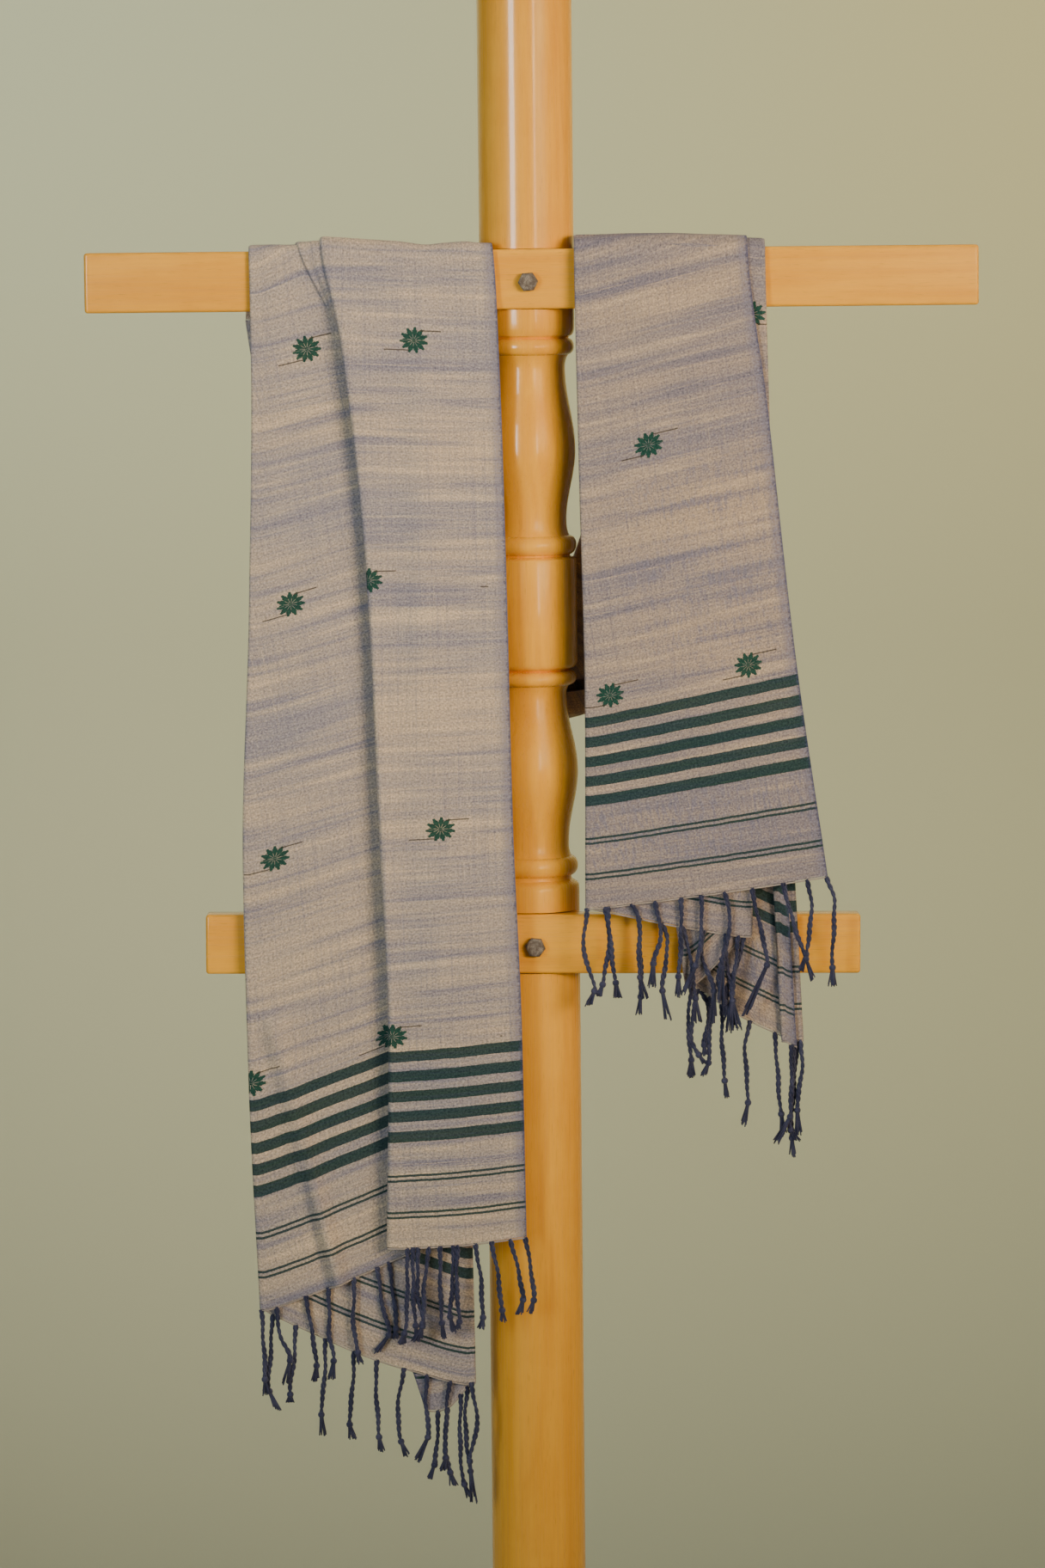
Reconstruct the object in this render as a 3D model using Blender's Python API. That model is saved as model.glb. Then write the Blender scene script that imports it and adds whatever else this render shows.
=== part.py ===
"""A stole hung over the upper arm of a turned coat stand.

Lengths are in millimetres until new_piece turns them into metres. X runs along the
arms to the right, Y away from the viewer and Z up; the origin is on the floor, on
the post's axis. Cloth is placed by how far it has run over the arm: reach counts
from the arm's top centre line, forward and down as plus, backward and down as minus.
"""

import math

import bmesh
import bpy
import numpy as np

MILLIMETRE = 0.001
SEAM = 0.3

# Stand
POST_RADIUS = 35.0
POST_SIDES = 20
POST_TOP = 1620.0
BAR_LENGTH = 664.0
BAR_WIDTH = 60.0
BAR_HEIGHT = 40.0
ARM_FRONT = -38.0
ARM_BACK = -14.0
UPPER_ARM_LEFT = -324.0
UPPER_ARM_RIGHT = 331.0
UPPER_ARM_BOTTOM = 1276.0
UPPER_ARM_TOP = 1320.0
LOWER_ARM_LENGTH = 484.0
LOWER_ARM_BOTTOM = 786.0
LOWER_ARM_TOP = 830.0
LOWER_ARM_TILT = math.radians(0.48)
LOWER_NOTCH_SPARE = 0.35
ARM_EDGE = 1.8
BOLT_FLATS = 13.0
BOLT_HEIGHT = 5.5
BOLT_CHAMFER = 0.8
UPPER_BOLT = (1.0, 1296.0, math.radians(4.0))
LOWER_BOLT = (1.6, 806.0, math.radians(-7.0))

# Cloth
WALL = 1.2
ARM_CORNER = 2.0
FLAT_HALF = (ARM_BACK - ARM_FRONT) / 2 - ARM_CORNER
CORNER_RUN = 11.0
CROWN_START = FLAT_HALF + CORNER_RUN
BACK_SEAM = -69.0
CLOTH_SEAM = 0.45
HANGING_ROWS = 12
CROWN_ROWS = (21.0, 15.5, 10.0, 0.0, -10.0, -15.5, -21.0, -45.0, BACK_SEAM)
FOLD_ROUNDING = 6.0
BOW_FADE = 150.0

# Left fall, from its front selvedge to its back one. Each line is an edge or a fold;
# columns: reach, x, off (height over the arm) of the layer arriving and the one leaving.
LEFT_LINES = {
    "front_selvedge": (
        (746, -7, 19.5, 19.5),
        (588, -9, 19.3, 19.3),
        (444, -14, 18.5, 18.5),
        (258, -17, 16.0, 16.0),
        (91, -21, 7.5, 7.5),
        (0, -27, 4.2, 4.2),
        (-10, -35, 4.4, 4.4),
        (-21, -36.5, 5.4, 5.4),
        (-69, -38, 8.4, 8.4),
    ),
    "front_pleat": (
        (752, -110, 19.5, 15.6),
        (595, -107, 19.5, 15.6),
        (444, -112, 19.5, 15.6),
        (259, -120, 21.5, 16.5),
        (86, -138, 29.5, 26.5),
        (0, -163, 9.0, 6.8),
        (-69, -150, 10.6, 9.4),
    ),
    "pleat_root": (
        (748, -65, 15.6, 11.7),
        (580, -56, 15.6, 11.7),
        (433, -72, 15.4, 11.5),
        (256, -98, 15.0, 11.2),
        (89, -148, 9.5, 7.0),
        (0, -172, 5.6, 4.2),
        (-69, -164, 9.2, 8.2),
    ),
    "outer_fold": (
        (800, -205, 11.7, 7.8),
        (631, -211, 11.7, 7.8),
        (469, -213, 11.2, 7.4),
        (284, -206, 10.0, 6.8),
        (102, -202, 6.8, 4.6),
        (0, -203, 4.2, 2.6),
        (-69, -207, 7.8, 5.4),
    ),
    "inner_fold": (
        (857, -46, 7.8, 3.9),
        (697, -48, 7.8, 3.9),
        (514, -49, 7.4, 3.8),
        (306, -44, 6.6, 3.4),
        (107, -38, 4.2, 2.2),
        (0, -40, 2.6, 1.0),
        (-69, -42, 5.2, 2.6),
    ),
    "back_selvedge": (
        (873, -75, 3.9, 3.9),
        (703, -100, 3.9, 3.9),
        (520, -104, 3.4, 3.4),
        (311, -145, 3.2, 3.2),
        (112, -178, 1.8, 1.8),
        (0, -180, 1.0, 1.0),
        (-69, -182, 1.8, 1.8),
    ),
}
# How far each layer of the left fall swells outward between its two lines:
# where it hangs, and where it crosses the arm.
LEFT_BOWS = ((4.0, -1.6), (1.5, 0.0), (1.5, 0.0), (0.5, 0.0), (0.0, 0.0))

# Right fall, in the same columns; its last two layers turn forward again.
RIGHT_LINES = {
    "front_selvedge": (
        (480, 217, 20.5, 20.5),
        (317, 194, 20.0, 20.0),
        (143, 176, 15.0, 15.0),
        (0, 161, 7.9, 7.9),
        (-69, 172, 11.6, 11.6),
    ),
    "inner_fold": (
        (502, 39, 20.5, 17.2),
        (348, 40, 20.0, 16.8),
        (173, 37, 15.5, 12.6),
        (0, 35, 9.5, 7.6),
        (-21, 36.5, 10.0, 8.1),
        (-69, 37, 11.4, 9.5),
    ),
    "outer_fold": (
        (524, 161, 17.2, 14.0),
        (371, 165, 17.0, 13.8),
        (195, 177, 12.8, 10.4),
        (0, 174, 5.8, 4.1),
        (-69, 176, 9.5, 7.6),
    ),
    "second_inner_fold": (
        (561, 112, 14.0, 4.0),
        (398, 90, 13.8, 4.0),
        (215, 75, 10.4, 3.2),
        (0, 55, 6.3, 1.0),
        (-69, 60, 7.6, 1.8),
    ),
    "second_outer_fold": (
        (603, 199, 4.0, 7.2),
        (437, 190, 4.0, 7.2),
        (229, 148, 3.2, 5.4),
        (0, 120, 1.0, 2.9),
        (-69, 126, 1.8, 3.7),
    ),
    "third_inner_fold": (
        (603, 183, 7.2, 10.4),
        (437, 174, 7.2, 10.4),
        (230, 119, 5.4, 7.8),
        (0, 92, 2.9, 4.7),
        (-69, 98, 3.7, 5.6),
    ),
    "back_selvedge": (
        (607, 194, 10.4, 10.4),
        (441, 184, 10.4, 10.4),
        (232, 141, 7.8, 7.8),
        (0, 116, 4.7, 4.7),
        (-69, 121, 5.6, 5.6),
    ),
}
RIGHT_BOWS = ((4.0, 1.9), (2.0, 2.5), (2.0, 2.3), (0.0, 0.0), (0.0, 0.0), (0.0, 0.0))

# Swag behind the post: the gathered length that joins the two falls.
SWAG_ROWS = 24
SWAG_COLUMNS = (
    0.0, 0.09, 0.18, 0.27, 0.36, 0.43, 0.47, 0.485, 0.4925, 0.5,
    0.5075, 0.515, 0.53, 0.57, 0.64, 0.73, 0.82, 0.91, 1.0,
)
SWAG_CENTRE_X = -7.75
SWAG_HALF_SPAN = 113.75
SWAG_DROP = 270.0
SWAG_DROP_POWER = 2.2
SWAG_START_Y = -7.0
SWAG_REACH_Y = 72.0
SWAG_REACH_POWER = 1.3
SWAG_WIDE = (86.0, 36.0, 70.0)
SWAG_DEEP = (3.6, 20.0, 3.6)
SWAG_GAP = 0.03
SWAG_LOBES = 5.5
SWAG_LOBE_DEPTH = 0.10

# Fringe
STRIP_HEIGHT = 1.2
STRIP_HALF = 1.2
STRAND_HALF = 1.2
LEFT_STRANDS = (9, 4, 9, 8, 2)
RIGHT_STRANDS = (10, 7, 4, 6, 2, 2)
# One strand, root to tip: share of its length, share of the root's size.
STRAND_SHAPE = (
    (0.30, 0.62),
    (0.72, 0.70),
    (0.80, 1.15),
    (1.00, 0.85),
)
STRAND_LENGTH = 66.0
STRAND_VARY = 5.0
STRAND_DRIFT = 5.0

WOOD = (0.70, 0.36, 0.11)
WOOD_GLOSS = 0.3
STEEL = (0.24, 0.20, 0.17)
CLOTH = (0.42, 0.35, 0.29)
FRINGE = (0.03, 0.035, 0.08)


def clear_scene():
    for item in list(bpy.data.objects):
        bpy.data.objects.remove(item, do_unlink=True)


def material(name, colour, roughness, metallic):
    made = bpy.data.materials.new(name)
    made.use_nodes = True
    shader = made.node_tree.nodes["Principled BSDF"]
    shader.inputs["Base Color"].default_value = (*colour, 1.0)
    shader.inputs["Roughness"].default_value = roughness
    shader.inputs["Metallic"].default_value = metallic
    return made


def new_piece(name, points, faces, colour, roughness, metallic=0.0, crease=40.0):
    """An object from millimetre points; edges sharper than crease degrees stay sharp."""
    mesh = bpy.data.meshes.new(name)
    mesh.from_pydata([tuple(MILLIMETRE * float(c) for c in p) for p in points], [], faces)
    mesh.validate()
    mesh.shade_smooth()
    mesh.set_sharp_from_angle(angle=math.radians(crease))
    mesh.materials.append(material(name, colour, roughness, metallic))
    piece = bpy.data.objects.new(name, mesh)
    bpy.context.scene.collection.objects.link(piece)
    return piece


def add_box(name, low, high, edge=0.0):
    """A wooden bar between two corners; edge is how far its arrises are planed off."""
    shape = bmesh.new()
    bmesh.ops.create_cube(shape, size=1.0)
    low = np.array(low, float) * MILLIMETRE
    high = np.array(high, float) * MILLIMETRE
    bmesh.ops.scale(shape, vec=tuple(high - low), verts=shape.verts)
    bmesh.ops.translate(shape, vec=tuple((low + high) / 2), verts=shape.verts)
    mesh = bpy.data.meshes.new(name)
    shape.to_mesh(mesh)
    shape.free()
    mesh.materials.append(material(name, WOOD, WOOD_GLOSS, 0.0))
    bar = bpy.data.objects.new(name, mesh)
    bpy.context.scene.collection.objects.link(bar)
    if edge > 0.0:
        planed = bar.modifiers.new("planed_edges", "BEVEL")
        planed.width = edge * MILLIMETRE
        planed.segments = 1
    return bar


def cut_away(target, name, low, high):
    """Cut the box from corner low to corner high out of target."""
    cutter = add_box(name, low, high)
    cutter.hide_render = True
    cutter.display_type = "WIRE"
    cut = target.modifiers.new(name, "BOOLEAN")
    cut.operation = "DIFFERENCE"
    cut.solver = "EXACT"
    cut.object = cutter


def bead(centre, half, radius, root):
    """A half-round bead: r = root + (radius - root) cos(a), z = centre + half sin(a)."""
    turns = [math.radians(a) for a in (-90, -45, 0, 45, 90)]
    return [(centre + half * math.sin(a), root + (radius - root) * math.cos(a)) for a in turns]


def baluster(low, belly, high):
    """A swell between two necks, each half a cosine wave; each of the three is (z, r)."""
    shape = []
    for start, end, steps in ((low, belly, 5), (belly, high, 5)):
        for step in range(steps):
            share = step / steps
            ease = (1 - math.cos(math.pi * share)) / 2
            shape.append((start[0] + (end[0] - start[0]) * share, start[1] + (end[1] - start[1]) * ease))
    shape.append(high)
    return shape


def turned_profile():
    """The post's (z, radius) pairs from foot to top."""
    foot = BAR_HEIGHT + SEAM
    profile = [(foot, 33.4), (foot + 1.6, POST_RADIUS), (420.0, POST_RADIUS)]
    profile += [(846.0, POST_RADIUS), (850.5, 33.4), (853.0, 29.6)]
    profile += bead(863.0, 7.0, 34.1, 29.8)
    profile += [(873.0, 28.5)]
    profile += baluster((881.0, 27.6), (934.0, 34.8), (990.0, 26.7))
    profile += bead(1003.0, 5.5, 34.3, 29.0)
    profile += [(1010.5, 32.6), (1014.0, POST_RADIUS), (1090.0, POST_RADIUS), (1093.2, 32.4)]
    profile += bead(1101.5, 7.0, POST_RADIUS, 30.6)
    profile += [(1112.0, 28.8)]
    profile += baluster((1120.0, 28.0), (1172.0, POST_RADIUS), (1232.0, 27.8))
    profile += bead(1248.0, 6.0, 34.6, 31.0)
    profile += [(1256.5, 34.4), (1262.0, POST_RADIUS), (1440.0, POST_RADIUS)]
    profile += [(1600.0, POST_RADIUS), (1612.0, 31.0), (1618.0, 22.0)]
    return profile


def build_post():
    profile = turned_profile()
    points = []
    for z, radius in profile:
        for side in range(POST_SIDES):
            turn = 2 * math.pi * (side + 0.5) / POST_SIDES
            points.append((radius * math.cos(turn), radius * math.sin(turn), z))
    faces = [tuple(reversed(range(POST_SIDES)))]
    for row in range(len(profile) - 1):
        for side in range(POST_SIDES):
            a = row * POST_SIDES + side
            b = row * POST_SIDES + (side + 1) % POST_SIDES
            faces.append((a, b, b + POST_SIDES, a + POST_SIDES))
    last = (len(profile) - 1) * POST_SIDES
    points.append((0.0, 0.0, POST_TOP))
    for side in range(POST_SIDES):
        faces.append((last + side, last + (side + 1) % POST_SIDES, len(points) - 1))
    post = new_piece("post", points, faces, WOOD, WOOD_GLOSS)
    reach = POST_RADIUS + 2.0
    for name, low, high, spare in (
        ("upper_notch", UPPER_ARM_BOTTOM, UPPER_ARM_TOP, SEAM),
        ("lower_notch", LOWER_ARM_BOTTOM, LOWER_ARM_TOP, SEAM + LOWER_NOTCH_SPARE),
    ):
        corner = (-reach, -reach, low - spare)
        cut_away(post, name, corner, (reach, ARM_BACK + SEAM, high + spare))


def build_upper_arm():
    low = (UPPER_ARM_LEFT, ARM_FRONT, UPPER_ARM_BOTTOM)
    add_box("upper_arm", low, (UPPER_ARM_RIGHT, ARM_BACK, UPPER_ARM_TOP), ARM_EDGE)


def build_lower_arm():
    """The shorter arm, made about its bolt and hung a little askew on it."""
    pivot_x, pivot_z, _ = LOWER_BOLT
    half = LOWER_ARM_LENGTH / 2
    low = (-half - pivot_x, ARM_FRONT, LOWER_ARM_BOTTOM - pivot_z)
    high = (half - pivot_x, ARM_BACK, LOWER_ARM_TOP - pivot_z)
    arm = add_box("lower_arm", low, high, ARM_EDGE)
    arm.location = (pivot_x * MILLIMETRE, 0.0, pivot_z * MILLIMETRE)
    arm.rotation_euler = (0.0, LOWER_ARM_TILT, 0.0)


def build_bolt(name, place):
    """A six-sided bolt head, corner up, on the arm's front face."""
    x, z, twist = place
    radius = BOLT_FLATS / math.sqrt(3)
    back = ARM_FRONT - SEAM
    rings = (
        (back, radius),
        (back - BOLT_HEIGHT + BOLT_CHAMFER, radius),
        (back - BOLT_HEIGHT, radius - BOLT_CHAMFER),
    )
    points = []
    for y, size in rings:
        for side in range(6):
            turn = math.radians(90 + 60 * side) + twist
            points.append((x + size * math.cos(turn), y, z + size * math.sin(turn)))
    faces = [tuple(reversed(range(6))), tuple(range(12, 18))]
    for row in range(2):
        for side in range(6):
            a = row * 6 + side
            b = row * 6 + (side + 1) % 6
            faces.append((a, b, b + 6, a + 6))
    new_piece(name, points, faces, STEEL, 0.55, 0.8, 25.0)


def build_base():
    """Two bars that cross and are let into each other by half their height."""
    half_long = BAR_LENGTH / 2
    half_wide = BAR_WIDTH / 2
    middle = BAR_HEIGHT / 2
    room = half_wide + SEAM
    past = BAR_WIDTH
    along = add_box("base_bar_along", (-half_long, -half_wide, 0), (half_long, half_wide, BAR_HEIGHT), ARM_EDGE)
    cut_away(along, "along_notch", (-room, -past, middle - SEAM / 2), (room, past, BAR_HEIGHT + past))
    across = add_box("base_bar_across", (-half_wide, -half_long, 0), (half_wide, half_long, BAR_HEIGHT), ARM_EDGE)
    cut_away(across, "across_notch", (-past, -room, -past), (past, room, middle + SEAM / 2))


def smooth_run(knots, values, wanted):
    """Cubic through (knots, values) that never overshoots: slopes are harmonic means."""
    knots = np.asarray(knots, float)
    values = np.asarray(values, float)
    step = np.diff(knots)
    rise = np.diff(values) / step
    slope = np.zeros(len(knots))
    slope[0] = rise[0]
    slope[-1] = rise[-1]
    for k in range(1, len(knots) - 1):
        if rise[k - 1] * rise[k] > 0:
            first = 2 * step[k] + step[k - 1]
            second = step[k] + 2 * step[k - 1]
            slope[k] = (first + second) / (first / rise[k - 1] + second / rise[k])
    place = np.clip(np.searchsorted(knots, wanted, side="right") - 1, 0, len(step) - 1)
    s = (wanted - knots[place]) / step[place]
    start = (1 + 2 * s) * (1 - s) ** 2 * values[place] + s * (1 - s) ** 2 * step[place] * slope[place]
    end = s * s * (3 - 2 * s) * values[place + 1] - s * s * (1 - s) * step[place] * slope[place + 1]
    return start + end


def around_arm(x, reach, off):
    """Point over the upper arm: flat top, a quarter turn of radius 2 + off, then straight down."""
    run = np.abs(reach)
    turn = np.clip((run - FLAT_HALF) / CORNER_RUN, 0.0, 1.0) * math.pi / 2
    radius = ARM_CORNER + off
    deep = np.minimum(run, FLAT_HALF) + radius * np.sin(turn)
    z = UPPER_ARM_TOP - ARM_CORNER + radius * np.cos(turn) - np.maximum(run - CROWN_START, 0.0)
    middle = (ARM_FRONT + ARM_BACK) / 2
    return np.stack([x, middle - np.sign(reach) * deep, z], axis=-1)


def row_reaches(hem):
    """Reach of one line on every row: even steps up the hanging part, then over the arm."""
    share = np.arange(HANGING_ROWS) / HANGING_ROWS
    return np.concatenate([hem + (CROWN_START - hem) * share, CROWN_ROWS])


def line_rows(table):
    """One line's (x, reach, off arriving, off leaving) on every row."""
    columns = np.array(table, float).T
    reach = row_reaches(columns[0][0])
    runs = [smooth_run(-columns[0], columns[k], -reach) for k in (1, 2, 3)]
    return runs[0], reach, runs[1], runs[2]


def control_points(lines, bows):
    """Control polygon of every row as (rows, points, 3) of x, reach, off.

    A selvedge gives one point and a layer one, in its middle and bowed; a fold gives
    four: two on its edge and one on each layer beside it, on the side that layer runs to.
    The second list marks the points on fold edges.
    """
    runs = [line_rows(table) for table in lines.values()]
    last = len(runs) - 1
    points = []
    marks = []
    for k, (x, reach, arriving, leaving) in enumerate(runs):
        if k > 0:
            before = runs[k - 1]
            fade = np.clip((reach - CROWN_START) / BOW_FADE, 0.0, 1.0)
            hanging, crossing = bows[k - 1]
            middle_off = (before[3] + arriving) / 2 + crossing + (hanging - crossing) * fade
            points.append(np.stack([(before[0] + x) / 2, (before[1] + reach) / 2, middle_off], axis=-1))
            marks.append(False)
        if k in (0, last):
            points.append(np.stack([x, reach, arriving], axis=-1))
            marks.append(False)
            continue
        width = FOLD_ROUNDING
        back = x + np.clip((runs[k - 1][0] - x) / 3, -width, width)
        ahead = x + np.clip((runs[k + 1][0] - x) / 3, -width, width)
        for place, off, mark in ((back, arriving, False), (x, arriving, True), (x, leaving, True), (ahead, leaving, False)):
            points.append(np.stack([place, reach, off], axis=-1))
            marks.append(mark)
    return np.stack(points, axis=1), marks


def section_rows(lines, bows):
    """Every row of a fall: the quadratic spline of its control polygon, at span ends and fold corners."""
    control, marks = control_points(lines, bows)
    samples = [control[:, 0]]
    count = control.shape[1]
    for k in range(count - 1):
        if marks[k]:
            before = (control[:, k - 1] + control[:, k]) / 2
            after = (control[:, k] + control[:, k + 1]) / 2
            samples.append((before + 2 * control[:, k] + after) / 4)
        samples.append((control[:, k] + control[:, k + 1]) / 2)
    samples.append(control[:, -1])
    return np.stack(samples, axis=1)


def surface_normals(grid):
    """Unit normals of a grid of points, from the steps to each point's neighbours."""
    down = np.gradient(grid, axis=0)
    across = np.gradient(grid, axis=1)
    normal = np.cross(across, down)
    return normal / np.linalg.norm(normal, axis=-1, keepdims=True)


def cloth_wall(name, grid):
    """A closed wall of even thickness around a grid of centre points."""
    rows, columns = grid.shape[:2]
    normal = surface_normals(grid)
    front = (grid + normal * WALL / 2).reshape(-1, 3)
    back = (grid - normal * WALL / 2).reshape(-1, 3)
    points = np.concatenate([front, back])
    behind = rows * columns
    faces = []
    for row in range(rows - 1):
        for column in range(columns - 1):
            a = row * columns + column
            for ring in ((a, a + 1, a + columns + 1), (a, a + columns + 1, a + columns)):
                faces.append(ring)
                faces.append(tuple(behind + k for k in reversed(ring)))
    edge = [column for column in range(columns)]
    edge += [row * columns + columns - 1 for row in range(1, rows)]
    edge += [(rows - 1) * columns + column for column in reversed(range(columns - 1))]
    edge += [row * columns for row in reversed(range(1, rows - 1))]
    for k, here in enumerate(edge):
        there = edge[(k + 1) % len(edge)]
        faces.append((there, here, behind + here, behind + there))
    new_piece(name, points, faces, CLOTH, 0.9, 0.0, 60.0)


def build_fall(name, lines, bows):
    section = section_rows(lines, bows)
    cloth_wall(name, around_arm(section[..., 0], section[..., 1], section[..., 2]))
    return section[0]


def swag_size(ends, t):
    """Left, middle and right size joined by a soft curve."""
    start, middle, end = ends
    outer = np.where(t < 0.5, start, end)
    return middle + (outer - middle) * np.abs(1 - 2 * t) ** 1.6


def flat_loop(place, half_wide, half_deep):
    """Point at a share of the way round two straight runs joined by half circles.

    Share 0 is the outer tip, a quarter the rear middle, a half the inner tip.
    """
    share = np.mod(place, 1.0)
    side = np.where(share < 0.5, 1.0, -1.0)
    share = np.minimum(share, 1 - share)
    straight = half_wide - half_deep
    arc = math.pi * half_deep / 2
    run = share * 2 * (2 * straight + 2 * arc)
    first = np.clip(run / half_deep, 0, math.pi / 2)
    second = np.clip((run - arc - 2 * straight) / half_deep, 0, math.pi / 2)
    along = straight - np.clip(run - arc, 0, 2 * straight)
    wide = along + half_deep * (np.cos(first) - np.sin(second))
    return wide, side * half_deep * np.where(second > 0, np.cos(second), np.sin(first))


def build_swag():
    """The gathered back length: a flat tube of cloth, open along one side, hung as a loop.

    The path is x = -cos, z = a flat-bottomed drop, y = a bulge to the rear; the open side
    turns half round along the way and soft lobes swell and sink round the middle.
    """
    t = np.linspace(0.0, 1.0, SWAG_ROWS)
    fine = 1e-4
    spots = np.concatenate([t, np.clip(t + fine, 0, 1), np.clip(t - fine, 0, 1)])
    x = SWAG_CENTRE_X - SWAG_HALF_SPAN * np.cos(math.pi * spots)
    top = UPPER_ARM_TOP - ARM_CORNER + CROWN_START + BACK_SEAM - CLOTH_SEAM
    z = top - SWAG_DROP * (1 - np.abs(1 - 2 * spots) ** SWAG_DROP_POWER)
    y = SWAG_START_Y + SWAG_REACH_Y * np.abs(np.sin(math.pi * spots)) ** SWAG_REACH_POWER
    path = np.stack([x, y, z], axis=-1)
    centre = path[:SWAG_ROWS]
    ahead = path[SWAG_ROWS : 2 * SWAG_ROWS] - path[2 * SWAG_ROWS :]
    ahead[0] = (0.0, 0.0, -1.0)
    ahead[-1] = (0.0, 0.0, 1.0)
    ahead /= np.linalg.norm(ahead, axis=1, keepdims=True)
    outward = np.stack([ahead[:, 2], 0 * t, -ahead[:, 0]], axis=-1)
    outward /= np.linalg.norm(outward, axis=1, keepdims=True)
    rearward = np.cross(ahead, outward)
    twist = t * t * (3 - 2 * t)
    u = np.array(SWAG_COLUMNS)
    place = (0.5 - SWAG_GAP) * (1 - 2 * u[None, :]) + twist[:, None] / 2
    lobe = 1 + SWAG_LOBE_DEPTH * np.sin(math.pi * t)[:, None] * np.cos(2 * math.pi * SWAG_LOBES * u)[None, :]
    half_wide = swag_size(SWAG_WIDE, t)[:, None] * lobe
    half_deep = swag_size(SWAG_DEEP, t)[:, None] * lobe
    wide, deep = flat_loop(place, half_wide, half_deep)
    grid = centre[:, None] + wide[..., None] * outward[:, None] + deep[..., None] * rearward[:, None]
    cloth_wall("stole_back_swag", grid[:, ::-1])


def build_fringe(name, hem, counts, marks):
    """A strip under the hem, with strands drawn down out of its lower face.

    The strip follows the hem's folds; each strand starts from a lower quad as wide as
    itself, so the whole fringe is one closed skin.
    """
    flat = around_arm(hem[:, 0], hem[:, 1] + CLOTH_SEAM, hem[:, 2])
    arc = np.concatenate([[0.0], np.cumsum(np.linalg.norm(np.diff(flat, axis=0), axis=1))])
    spots = []
    for layer, count in enumerate(counts):
        low = arc[marks[layer][0]]
        high = arc[marks[layer][1]]
        spots += [low + (high - low) * (k + 0.5) / count for k in range(count)]
    corners = [a for a in arc if min(abs(a - s) for s in spots) > 2 * STRAND_HALF]
    stops = [(a, False) for a in corners] + [(s - STRAND_HALF, True) for s in spots]
    stops += [(s + STRAND_HALF, False) for s in spots]
    stops.sort()
    place = np.array([a for a, _ in stops])
    middle = np.stack([np.interp(place, arc, flat[:, k]) for k in range(3)], axis=-1)
    along = np.gradient(middle, axis=0)
    side = np.stack([-along[:, 1], along[:, 0], 0 * place], axis=-1)
    side /= np.linalg.norm(side, axis=1, keepdims=True)
    drop = np.array([0.0, 0.0, STRIP_HEIGHT])
    shell = [middle + side * STRIP_HALF, middle - side * STRIP_HALF]
    points = [tuple(p) for pair in zip(shell[0], shell[1], shell[1] - drop, shell[0] - drop) for p in pair]
    faces = [(3, 2, 1, 0)]
    for k, (_, strand) in enumerate(stops[:-1]):
        a = 4 * k
        faces += [(a, a + 1, a + 5, a + 4), (a + 1, a + 2, a + 6, a + 5), (a + 3, a, a + 4, a + 7)]
        if not strand:
            faces.append((a + 2, a + 3, a + 7, a + 6))
            continue
        ring = [a + 2, a + 3, a + 7, a + 6]
        number = len([1 for _, other in stops[:k] if other])
        length = STRAND_LENGTH + STRAND_VARY * math.sin(2.3 * number)
        drift = STRAND_DRIFT * math.sin(1.7 * number + 0.6)
        root = np.array([points[p] for p in ring])
        centre = root.mean(axis=0)
        shape = root - centre
        shape[:, 2] = 0.0
        for down, size in STRAND_SHAPE:
            moved = centre + shape * size + np.array([drift * down**2, 0.0, -length * down])
            fresh = [len(points) + p for p in range(4)]
            points += [tuple(p) for p in moved]
            for p in range(4):
                q = (p + 1) % 4
                faces.append((ring[p], ring[q], fresh[q], fresh[p]))
            ring = fresh
        faces.append(tuple(ring))
    end = 4 * (len(stops) - 1)
    faces.append((end, end + 1, end + 2, end + 3))
    new_piece(name, points, faces, FRINGE, 0.9, 0.0, 60.0)


def layer_marks(lines):
    """Sample numbers where each layer starts and ends: a layer has two samples, a fold five."""
    marks = []
    start = 0
    for _ in range(len(lines) - 1):
        end = start + 3
        marks.append((start, end))
        start = end + 4
    return marks


clear_scene()
build_post()
build_upper_arm()
build_lower_arm()
build_bolt("upper_bolt", UPPER_BOLT)
build_bolt("lower_bolt", LOWER_BOLT)
build_base()
left_hem = build_fall("stole_left_fall", LEFT_LINES, LEFT_BOWS)
right_hem = build_fall("stole_right_fall", RIGHT_LINES, RIGHT_BOWS)
build_swag()
build_fringe("fringe_left", left_hem, LEFT_STRANDS, layer_marks(LEFT_LINES))
build_fringe("fringe_right", right_hem, RIGHT_STRANDS, layer_marks(RIGHT_LINES))
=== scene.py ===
"""Looks of a patterned stole hung over the upper arm of a turned coat stand.

Shapes are worked out in millimetres and turned into metres when a mesh is made.
X runs along the arms to the right, Y away from the viewer, Z up from the floor.
"""

import math

import bpy
import numpy as np
from mathutils import Matrix, Vector


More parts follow.
